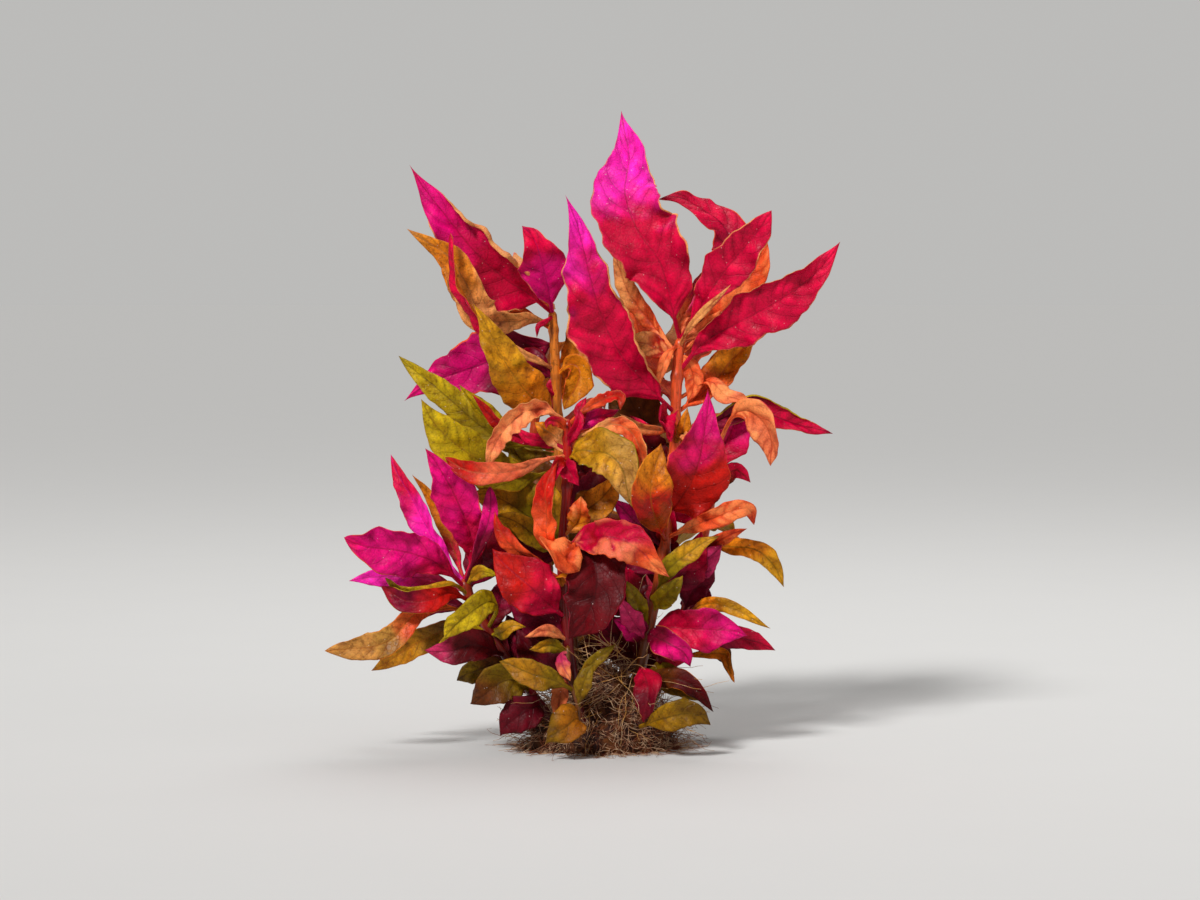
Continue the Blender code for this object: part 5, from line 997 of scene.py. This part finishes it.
def blade_mesh(leaf, number):
    """A fine blade on the leaf's midrib: folded, curled, rippled and puckered, with two skins and a rim."""
    sizes = bpy.context.scene.blade_sizes
    rng = np.random.default_rng(FIRST_SEED + number)
    start = [tuple(stem_point(leaf.stem, leaf.at))] if leaf.stem in STEMS else []
    line, length = even_line(start + list(leaf.path), PATH_SAMPLES * 2)
    step = sizes.step / MM * (1.0 if leaf.half > 4 else 0.8)
    rows = max(12, round(length / step))
    columns = 2 * max(3, round(leaf.half / step))
    t = np.linspace(0.0, 1.0, rows + 1)
    u = np.linspace(-1.0, 1.0, columns + 1)
    v = np.abs(u)
    run = t[:, None] * length
    centre, side, upward = midrib_axes(leaf, line, t)

    def on_sides(left, right):
        """Values along the blade that differ between its left and its right side."""
        return np.where(u[None, :] > 0, right[:, None], left[:, None])

    # How wide each side is, with a margin that is never quite even
    width = half_widths(leaf, t)
    blade = np.clip((width - PETIOLE_HALF_WIDTH) / (0.5 * leaf.half), 0.0, 1.0)
    full = blade[:, None]
    phases = rng.uniform(0, 2 * math.pi, 13)
    waves = max(1.4, length / WAVE_LENGTH)
    turns = [waves * 2 * math.pi * t + 1.3 * np.sin(2 * math.pi * t * 1.3 + phases[k + 10]) + phases[k + 4]
             for k in (0, 1)]
    torn = 0.05 * (leaf.creased - 1) ** 2
    uneven = [1 + blade * (sizes.lobes * (0.62 - np.abs(np.sin(turns[k] / 2 + 0.8))) * 1.7
                           + 0.05 * np.sin(waves * 2.3 * 2 * math.pi * t + phases[k])
                           + (0.02 + torn * np.sin(waves * 5.3 * t + phases[k + 8]))
                           * np.sin(waves * 6.1 * 2 * math.pi * t + phases[k + 2])) for k in (0, 1)]
    spread = on_sides(width * uneven[0], width * uneven[1])

    # The section's bend
    fold = np.radians(blend3(leaf.fold, t)) * blade
    curl = on_sides(*(np.radians(edge) * blade for edge in leaf.edge))
    across, lift = section(fold[:, None], curl, v)
    x = np.sign(u) * across * spread
    z = lift * spread

    # Ripples of the margins, a broad wave of the whole blade, and its creases
    wave = [np.sin(turns[k]) + 0.45 * np.sin(2.1 * turns[k] + phases[6 + k]) for k in (0, 1)]
    z = z + sizes.ripple * leaf.half * full * v ** 2.0 * on_sides(*wave)
    slow = np.sin(2 * math.pi * (1.4 * t[:, None] + 0.35 * u) + phases[8])
    z = z + BROAD_WAVE * leaf.half * full * slow
    relief = crease_relief(rng, run, x, leaf.creased)
    z = z + sizes.crumple / MM * leaf.creased * min(1.0, leaf.half / 6) * full * relief

    # The bulges between its side veins, and the groove over its midrib
    spacing = sizes.vein_spacing / MM * (0.55 + 0.055 * leaf.half)
    vein = (run - VEIN_SLANT * leaf.half * v ** 1.35) / spacing
    vein = vein + 0.5 * (u > 0) + 0.16 * np.sin(2.1 * vein + phases[9])
    bulge = np.sin(math.pi * vein) ** 2 * np.clip(v * 4, 0, 1) * (1 - v ** 6)
    strength = 0.62 + 0.38 * np.sin(0.31 * length * t[:, None] + 0.42 * x + phases[12])
    z = z + sizes.pucker / MM * full * min(1.0, leaf.half / 5) * bulge * strength
    from_rib = v * spread
    z = z - GROOVE_DEPTH * full * np.exp(-(from_rib / GROOVE_REACH) ** 2)

    # The sway of the solid that it stands for, and the hook of its tip
    sway = sway_of(leaf) * np.sin(math.pi / 2 * np.minimum(t / SWAY_SHARE, 1.0))
    hook = np.clip((t - HOOK_START) / HOOK_SHARE, 0, 1)[:, None] ** 2 * min(1.0, leaf.half / 8)
    x = x + hook * rng.choice((-1, 1)) * rng.uniform(1.0, 2.4)
    z = z - hook * rng.uniform(-0.6, 1.8)
    sheet = centre[:, None, :] + side[:, None, :] * x[:, :, None] + upward[:, None, :] * z[:, :, None]
    sheet[:, :, 1] += sway[:, None]
    skin = unit(np.cross(np.gradient(sheet, axis=1), np.gradient(sheet, axis=0)))

    # Two skins: a thin blade, a round petiole, and a midrib that stands out below
    thin = sizes.thickness / MM / 2 * (1 - 0.6 * v ** 3)
    round_half = PETIOLE_RADIUS * np.sqrt(np.maximum(1 - v ** 2, 0.02))
    round_half = round_half * np.minimum(1.0, width / PETIOLE_RADIUS)[:, None]
    half_thick = full * thin + (1 - full) * round_half
    rib = sizes.rib / MM * full * (1 - 0.75 * t[:, None]) * np.exp(-(from_rib / RIB_REACH) ** 2)
    top = sheet + skin * half_thick[:, :, None]
    bottom = sheet - skin * (half_thick + rib)[:, :, None]
    points = np.concatenate([top.reshape(-1, 3), bottom.reshape(-1, 3)]) * MM

    # The map and the values that its material reads
    grid_t, grid_u = np.meshgrid(t, u, indexing="ij")
    uv = np.stack([np.tile(grid_t.ravel() ** leaf.late, 2), np.tile(grid_u.ravel() * 0.5 + 0.5, 2)], axis=1)
    values = {
        "vein": np.tile(vein.ravel(), 2),
        "rib": np.tile(from_rib.ravel(), 2),
        # The ridge is the relief's height, which the material paints as highlight on crests and shade in
        # troughs
        "ridge": np.tile((relief + 0.5 * strength * bulge).ravel(), 2),
        "margin": np.tile((np.abs(grid_u) * np.clip(full * 3, 0, 1)).ravel(), 2),
        "below": np.repeat([0.0, 1.0], grid_t.size),
    }
    return points, two_skins(rows, columns), uv, values


def placed(name, data):
    """A new object of the scene that shows this data."""
    made = bpy.data.objects.new(name, data)
    bpy.context.scene.collection.objects.link(made)
    return made


def mesh_object(name, points, faces, values, uv=None):
    """A smooth mesh object with named values at its points, and a blade's map where it has one."""
    mesh = bpy.data.meshes.new(name)
    mesh.from_pydata(points.tolist(), [], faces)
    mesh.update()
    for key, numbers in values.items():
        mesh.attributes.new(key, "FLOAT", "POINT").data.foreach_set("value", numbers.astype(np.float32))
    if uv is not None:
        corners = np.empty(len(mesh.loops), np.int32)
        mesh.loops.foreach_get("vertex_index", corners)
        mesh.uv_layers.new(name=BLADE_MAP).data.foreach_set("uv", uv[corners].astype(np.float32).ravel())
    mesh.shade_smooth()
    return placed(name, mesh)


def grow_leaves(*groups):
    """Grow every leaf whose name starts with one of the groups, on its stem and in place of its solid."""
    for number, one in enumerate(LEAVES):
        if not one.name.startswith(groups):
            continue
        points, faces, uv, values = blade_mesh(one, number)
        blade = mesh_object(one.name + "_blade", points, faces, values, uv)
        blade.data.materials.append(blade_material(one.top, one.under))
        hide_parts(one.stem if one.fused else one.name)
        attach(blade, "root")


def joints_of(name):
    """The heights of a stem's joints: where its leaves grow, and evenly below them."""
    heights = sorted({leaf.at for leaf in LEAVES if leaf.stem == name})
    joints = []
    for height in heights:
        if not joints or height - joints[-1] > JOINT_SPACING:
            joints.append(height)
    while joints and joints[0] > 2 * JOINT_SPACING:
        joints.insert(0, joints[0] - JOINT_SPACING)
    return joints


def stem_mesh(name):
    """A stem's skin: swollen at its joints, faintly grooved, with a rounded end."""
    stem = STEMS[name]
    sizes = bpy.context.scene.stem_sizes
    _, length = even_line(stem.path, PATH_SAMPLES)
    rows = round(length / (sizes.step / MM))
    line, _ = even_line(stem.path, rows)
    ahead, out = carried_normals(line, FRONT)
    side = np.cross(ahead, out)
    joint = np.zeros(rows + 1)
    for height in joints_of(name):
        joint = np.maximum(joint, np.exp(-((line[:, 2] - height) / JOINT_REACH) ** 2))
    t = np.linspace(0, 1, rows + 1)
    end = np.sqrt(np.clip((1 - t) * length / stem.radius, 0.02, 1.0))
    radius = stem.radius * (1.0 + sizes.swelling * joint - STEM_UNEVEN * np.sin(t * length / 4.7)) * end
    count = sizes.sides
    angle = np.arange(count) * 2 * math.pi / count
    groove = 1 + STEM_GROOVE * np.cos(2 * angle)[None, :] * (1 - joint[:, None])
    reach = radius[:, None] * groove
    points = (line[:, None, :] + out[:, None, :] * (reach * np.cos(angle))[:, :, None]
              + side[:, None, :] * (reach * np.sin(angle))[:, :, None])
    faces = [[i * count + j, i * count + k, (i + 1) * count + k, (i + 1) * count + j]
             for i in range(rows) for j, k in zip(range(count), [*range(1, count), 0])]
    faces.append(list(range(count))[::-1])
    faces.append([rows * count + j for j in range(count)])
    return points.reshape(-1, 3) * MM, faces, {"joint": np.repeat(joint, count)}


def facing_out(made):
    """Make a closed mesh's faces point outwards."""
    body = bmesh.new()
    body.from_mesh(made.data)
    bmesh.ops.recalc_face_normals(body, faces=body.faces)
    body.to_mesh(made.data)
    body.free()


class PLANT_OT_stems(bpy.types.Operator):
    """Grow the jointed stems"""

    bl_idname = "plant.stems"
    bl_label = "Stems"

    def execute(self, context):
        for name, stem in STEMS.items():
            points, faces, values = stem_mesh(name)
            skin = mesh_object(name + "_skin", points, faces, values)
            facing_out(skin)
            skin.data.materials.append(stem_material(stem.low, stem.high))
            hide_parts(name)
            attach(skin, "root")
        return {"FINISHED"}


class PLANT_OT_crown_leaves(bpy.types.Operator):
    """Grow the tall leaves at the tops of the stems"""

    bl_idname = "plant.crown_leaves"
    bl_label = "Crown leaves"

    def execute(self, context):
        grow_leaves("left_crown", "right_crown", "rear_crown")
        return {"FINISHED"}


class PLANT_OT_middle_leaves(bpy.types.Operator):
    """Grow the leaves of the bunch's middle and flanks"""

    bl_idname = "plant.middle_leaves"
    bl_label = "Middle leaves"

    def execute(self, context):
        grow_leaves("centre", "right_leaf", "left_olive", "left_shoot", "inner")
        return {"FINISHED"}


class PLANT_OT_foot_leaves(bpy.types.Operator):
    """Grow the small leaves round the foot"""

    bl_idname = "plant.foot_leaves"
    bl_label = "Foot leaves"

    def execute(self, context):
        grow_leaves("low_left", "low_right")
        return {"FINISHED"}


class PLANT_OT_back_leaves(bpy.types.Operator):
    """Grow the paired leaves of the stems at the back"""

    bl_idname = "plant.back_leaves"
    bl_label = "Back leaves"

    def execute(self, context):
        grow_leaves("back_left", "back_right")
        return {"FINISHED"}


def fibre_tree():
    """Geometry Nodes that grow wandering fibres out of a mesh."""
    tree = bpy.data.node_groups.new("Root fibres", "GeometryNodeTree")
    face = tree.interface
    face.new_socket("Geometry", in_out="INPUT", socket_type="NodeSocketGeometry")
    for name, kind in (("Density", "Float"), ("Length", "Float"), ("Radius", "Float"), ("Wander", "Float"),
                       ("Seed", "Int"), ("Material", "Material")):
        face.new_socket(name, in_out="INPUT", socket_type="NodeSocket" + kind)
    face.new_socket("Geometry", in_out="OUTPUT", socket_type="NodeSocketGeometry")
    given = add(tree, "NodeGroupInput").outputs
    spots = add(tree, "GeometryNodeDistributePointsOnFaces", i0=given["Geometry"], Density=given["Density"],
                Seed=given["Seed"])
    turn = add(tree, "FunctionNodeRandomValue", {"data_type": "FLOAT_VECTOR"}, Seed=given["Seed"])
    for socket, corner in zip(turn.inputs, FIBRE_TURNS):
        socket.default_value = corner
    away = add(tree, "ShaderNodeVectorMath", {"operation": "SCALE"}, i0=spots.outputs["Normal"],
               Scale=FIBRE_OUTWARD)
    way = add(tree, "ShaderNodeVectorMath", {"operation": "ADD"}, i0=away.outputs[0], i1=turn.outputs[0])
    aim = add(tree, "FunctionNodeAlignRotationToVector", {"axis": "Z"}, Vector=way.outputs[0])
    size = add(tree, "FunctionNodeRandomValue", {"data_type": "FLOAT"}, Seed=given["Seed"])
    size.inputs[2].default_value = FIBRE_SHORTEST
    size.inputs[3].default_value = 1.0
    straight = add(tree, "GeometryNodeCurvePrimitiveLine", {"mode": "DIRECTION"}, Length=given["Length"])
    thread = add(tree, "GeometryNodeResampleCurve", Curve=straight.outputs[0], Count=FIBRE_POINTS)
    grown = add(tree, "GeometryNodeInstanceOnPoints", Points=spots.outputs[0], Instance=thread.outputs[0],
                Rotation=aim.outputs[0], Scale=size.outputs[1])
    own = add(tree, "FunctionNodeRandomValue", {"data_type": "FLOAT"}, Seed=3)
    own.inputs[3].default_value = 50.0
    marked = add(tree, "GeometryNodeStoreNamedAttribute", {"data_type": "FLOAT", "domain": "INSTANCE"},
                 Geometry=grown.outputs[0], Name="thread", Value=own.outputs[1])
    loose = add(tree, "GeometryNodeRealizeInstances", Geometry=marked.outputs[0])
    mark = add(tree, "GeometryNodeInputNamedAttribute", {"data_type": "FLOAT"}, Name="thread")
    here = add(tree, "GeometryNodeInputPosition")
    stray = add(tree, "ShaderNodeTexNoise", {"noise_dimensions": "4D"}, Vector=here.outputs[0],
                W=mark.outputs[0], Scale=per_mm(FIBRE_BENDS), Detail=1.0)
    centred = add(tree, "ShaderNodeVectorMath", {"operation": "SUBTRACT"}, i0=stray.outputs["Color"],
                  i1=(0.5, 0.5, 0.5))
    along = add(tree, "GeometryNodeSplineParameter")
    swing = times(tree, times(tree, along.outputs[0], given["Wander"]), FIBRE_SWING)
    offset = add(tree, "ShaderNodeVectorMath", {"operation": "SCALE"}, i0=centred.outputs[0], Scale=swing)
    bent = add(tree, "GeometryNodeSetPosition", Geometry=loose.outputs[0], Offset=offset.outputs[0])

    # No fibre reaches below the cut under the mat
    spot = add(tree, "ShaderNodeSeparateXYZ", i0=add(tree, "GeometryNodeInputPosition").outputs[0])
    above = math_of(tree, "MAXIMUM", spot.outputs[2], CUT_CLEARANCE * MM)
    raised = add(tree, "ShaderNodeCombineXYZ", i0=spot.outputs[0], i1=spot.outputs[1], i2=above)
    lying = add(tree, "GeometryNodeSetPosition", Geometry=bent.outputs[0], Position=raised.outputs[0])
    taper = add(tree, "ShaderNodeMapRange", i0=along.outputs[0], i3=given["Radius"])
    taper.inputs[4].default_value = FIBRE_END * MM
    ring = add(tree, "GeometryNodeCurvePrimitiveCircle", Resolution=4, Radius=1.0)
    tube = add(tree, "GeometryNodeCurveToMesh", Curve=lying.outputs[0], Profile_Curve=ring.outputs[0],
               Scale=taper.outputs[0], Fill_Caps=True)
    whole = add(tree, "GeometryNodeRealizeInstances", Geometry=tube.outputs[0])
    coated = add(tree, "GeometryNodeSetMaterial", Geometry=whole.outputs[0], Material=given["Material"])
    add(tree, "NodeGroupOutput", i0=coated.outputs[0])
    return tree


def ball(finer, shape):
    """A mesh ball of radius 1, split more often the finer it is, with its points put where shape says."""
    body = bmesh.new()
    bmesh.ops.create_icosphere(body, subdivisions=finer, radius=1.0)
    for vert in body.verts:
        vert.co = shape(*vert.co)
    return body


def object_of(body, name):
    """The object that a mesh in the making becomes."""
    mesh = bpy.data.meshes.new(name)
    body.to_mesh(mesh)
    body.free()
    return placed(name, mesh)


def mat_core(low, high):
    """The dark lumpy core of the root mat, inside its solid and cut off flat."""
    middle, reach = (low + high) / 2, (high - low) / 2

    def lumpy(x, y, z):
        lump = 0.9 + 0.035 * math.sin(9 * x + 3 * z) * math.cos(8 * y) + 0.025 * math.sin(17 * y + 11 * x)
        lump += 0.02 * math.sin(31 * x + 5 * y) * math.sin(29 * z + 2)
        height = high.z * (1 - CREST_SHARE * min(1.0, 2 * (x * x + y * y)))
        return Vector((middle.x + x * reach.x * lump, middle.y + y * reach.y * lump, z * height * lump))

    body = ball(5, lumpy)
    cut = bmesh.ops.bisect_plane(body, geom=body.verts[:] + body.edges[:] + body.faces[:], dist=1e-7,
                                 plane_co=(0, 0, 0), plane_no=(0, 0, -1), clear_outer=True)
    rim = [e for e in cut["geom_cut"] if isinstance(e, bmesh.types.BMEdge)]
    bmesh.ops.contextual_create(body, geom=rim)
    bmesh.ops.recalc_face_normals(body, faces=body.faces)
    core = object_of(body, "root_mat_core")
    core.data.shade_smooth()
    return core


def stray_root_source():
    """A plain ball between the stems' feet, which the long stray roots grow out of."""
    def stretched(*point):
        return Vector([m + p * r for m, p, r in zip(STRAY_MIDDLE, point, STRAY_REACH)]) * MM

    return object_of(ball(3, stretched), "stray_root_source")


def grown_fibres(name, source, tree, given):
    """The fibres that the node tree grows out of a mesh, as a plain mesh object."""
    modifier = source.modifiers.new(name, "NODES")
    modifier.node_group = tree
    for item in tree.interface.items_tree:
        if item.in_out == "INPUT" and item.name in given:
            modifier[item.identifier] = given[item.name]
    bpy.context.view_layer.update()
    seen = source.evaluated_get(bpy.context.evaluated_depsgraph_get())
    mesh = bpy.data.meshes.new_from_object(seen)
    source.modifiers.remove(modifier)
    mesh.name = name
    mesh.shade_smooth()
    return placed(name, mesh)


def skin_area(made):
    """The area of a mesh object's faces."""
    return sum(face.area for face in made.data.polygons)


class PLANT_OT_roots(bpy.types.Operator):
    """Grow the root mat: its dark core and its fibres"""

    bl_idname = "plant.roots"
    bl_label = "Root mat"

    def execute(self, context):
        sizes = context.scene.root_sizes
        tree = fibre_tree()
        low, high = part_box("root_mass")
        core = mat_core(low, high)
        core.data.materials.append(root_material("Old root mass", "root_dark", "brown", 2.4))
        fibres = grown_fibres("root_fibres", core, tree, {
            "Density": sizes.count / skin_area(core), "Length": sizes.length, "Radius": sizes.radius,
            "Wander": sizes.wander, "Seed": sizes.seed,
            "Material": root_material("Living root fibres", "root_tan", "root_pale", 3.0)})
        source = stray_root_source()
        strays = grown_fibres("stray_roots", source, tree, {
            "Density": sizes.stray_count / skin_area(source), "Length": sizes.stray_length,
            "Radius": sizes.stray_radius, "Wander": sizes.stray_wander, "Seed": sizes.seed + 1,
            "Material": root_material("Newest stray roots", "tan", "root_pale", 5.0)})
        bpy.data.objects.remove(source)
        for piece in (core, fibres, strays):
            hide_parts("root_mass")
            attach(piece, "root")
        return {"FINISHED"}


def turned(way):
    """The rotation of a light or camera that looks along a way."""
    return way.to_track_quat("-Z", "Y").to_euler()


def square_light(name, place, aim, size, power):
    """A soft square light that shines at a point."""
    lamp = bpy.data.lights.new(name, "AREA")
    lamp.size = size
    lamp.energy = power
    holder = placed(name, lamp)
    holder.location = place
    holder.rotation_euler = turned(Vector(aim) - Vector(place))


class PLANT_OT_stage(bpy.types.Operator):
    """Set the floor, the soft lights and the camera"""

    bl_idname = "plant.stage"
    bl_label = "Stage"

    def execute(self, context):
        scene = context.scene
        sizes = scene.stage_sizes
        middle = Vector((0, 0, EYE_HEIGHT * MM))
        bpy.ops.mesh.primitive_plane_add(size=sizes.floor, location=(0, 0, 0))
        floor = context.object
        floor.name = "floor"
        material, tree, shader, place = blank_material("Matt painted studio floor", 0.85, 0.2)
        worn = speckle(tree, place, 40.0)
        coat(tree, shader, laid(tree, colour("floor"), shade("floor", 0.9), worn, 0.3, 0.7, 0.05))
        floor.data.materials.append(material)

        world = bpy.data.worlds.new("Soft white room")
        world.use_nodes = True
        room = world.node_tree
        light = room.nodes["Background"]
        light.inputs[0].default_value = ROOM_WHITE
        seen = add(room, "ShaderNodeLightPath").outputs["Is Camera Ray"]
        strength = add(room, "ShaderNodeMapRange", i0=seen, i3=ROOM_LIGHT, i4=ROOM_SEEN)
        room.links.new(strength.outputs[0], light.inputs[1])
        scene.world = world
        sun = placed("key", bpy.data.lights.new("key", "SUN"))
        sun.data.energy = KEY_STRENGTH
        sun.data.angle = KEY_ANGLE
        sun.rotation_euler = turned(Vector(KEY_WAY))
        for name, spot, size, power in SQUARE_LIGHTS:
            square_light(name, spot, middle, size, power)

        camera = placed("camera", bpy.data.cameras.new("camera"))
        back = Vector((0, -math.cos(sizes.elevation), math.sin(sizes.elevation)))
        camera.location = middle + back * sizes.distance
        camera.rotation_euler = turned(-back)
        camera.data.lens = sizes.lens
        scene.camera = camera
        scene.view_settings.view_transform = "Standard"
        return {"FINISHED"}


class PLANT_PT_panel(bpy.types.Panel):
    """The steps that grow the bunch, and their sizes"""

    bl_idname = "PLANT_PT_panel"
    bl_label = "Alternanthera bunch"
    bl_space_type = "VIEW_3D"
    bl_region_type = "UI"
    bl_category = "Plant"

    def draw(self, context):
        for step in STEPS:
            self.layout.operator(step.bl_idname)
        for name in SETTINGS:
            group = getattr(context.scene, name)
            box = self.layout.box()
            for key in group.__annotations__:
                box.prop(group, key)


STEPS = (PLANT_OT_stems, PLANT_OT_crown_leaves, PLANT_OT_middle_leaves, PLANT_OT_foot_leaves,
         PLANT_OT_back_leaves, PLANT_OT_roots, PLANT_OT_stage)
SETTINGS = {"plant_colours": PlantColours, "blade_sizes": BladeSizes, "stem_sizes": StemSizes,
            "root_sizes": RootSizes, "stage_sizes": StageSizes}


def register():
    for group in SETTINGS.values():
        bpy.utils.register_class(group)
    for name, group in SETTINGS.items():
        setattr(bpy.types.Scene, name, PointerProperty(type=group))
    for step in STEPS:
        bpy.utils.register_class(step)
    bpy.utils.register_class(PLANT_PT_panel)


def unregister():
    bpy.utils.unregister_class(PLANT_PT_panel)
    for step in reversed(STEPS):
        bpy.utils.unregister_class(step)
    for name, group in SETTINGS.items():
        delattr(bpy.types.Scene, name)
        bpy.utils.unregister_class(group)


def main():
    """Grow the whole bunch, set the stage and note the sizes."""
    register()
    for nodes in BACK_NODES:
        pair_up_back_stem(*nodes)
    for step in STEPS:
        group, name = step.bl_idname.split(".")
        getattr(getattr(bpy.ops, group), name)()


if __name__ == "__main__":
    main()
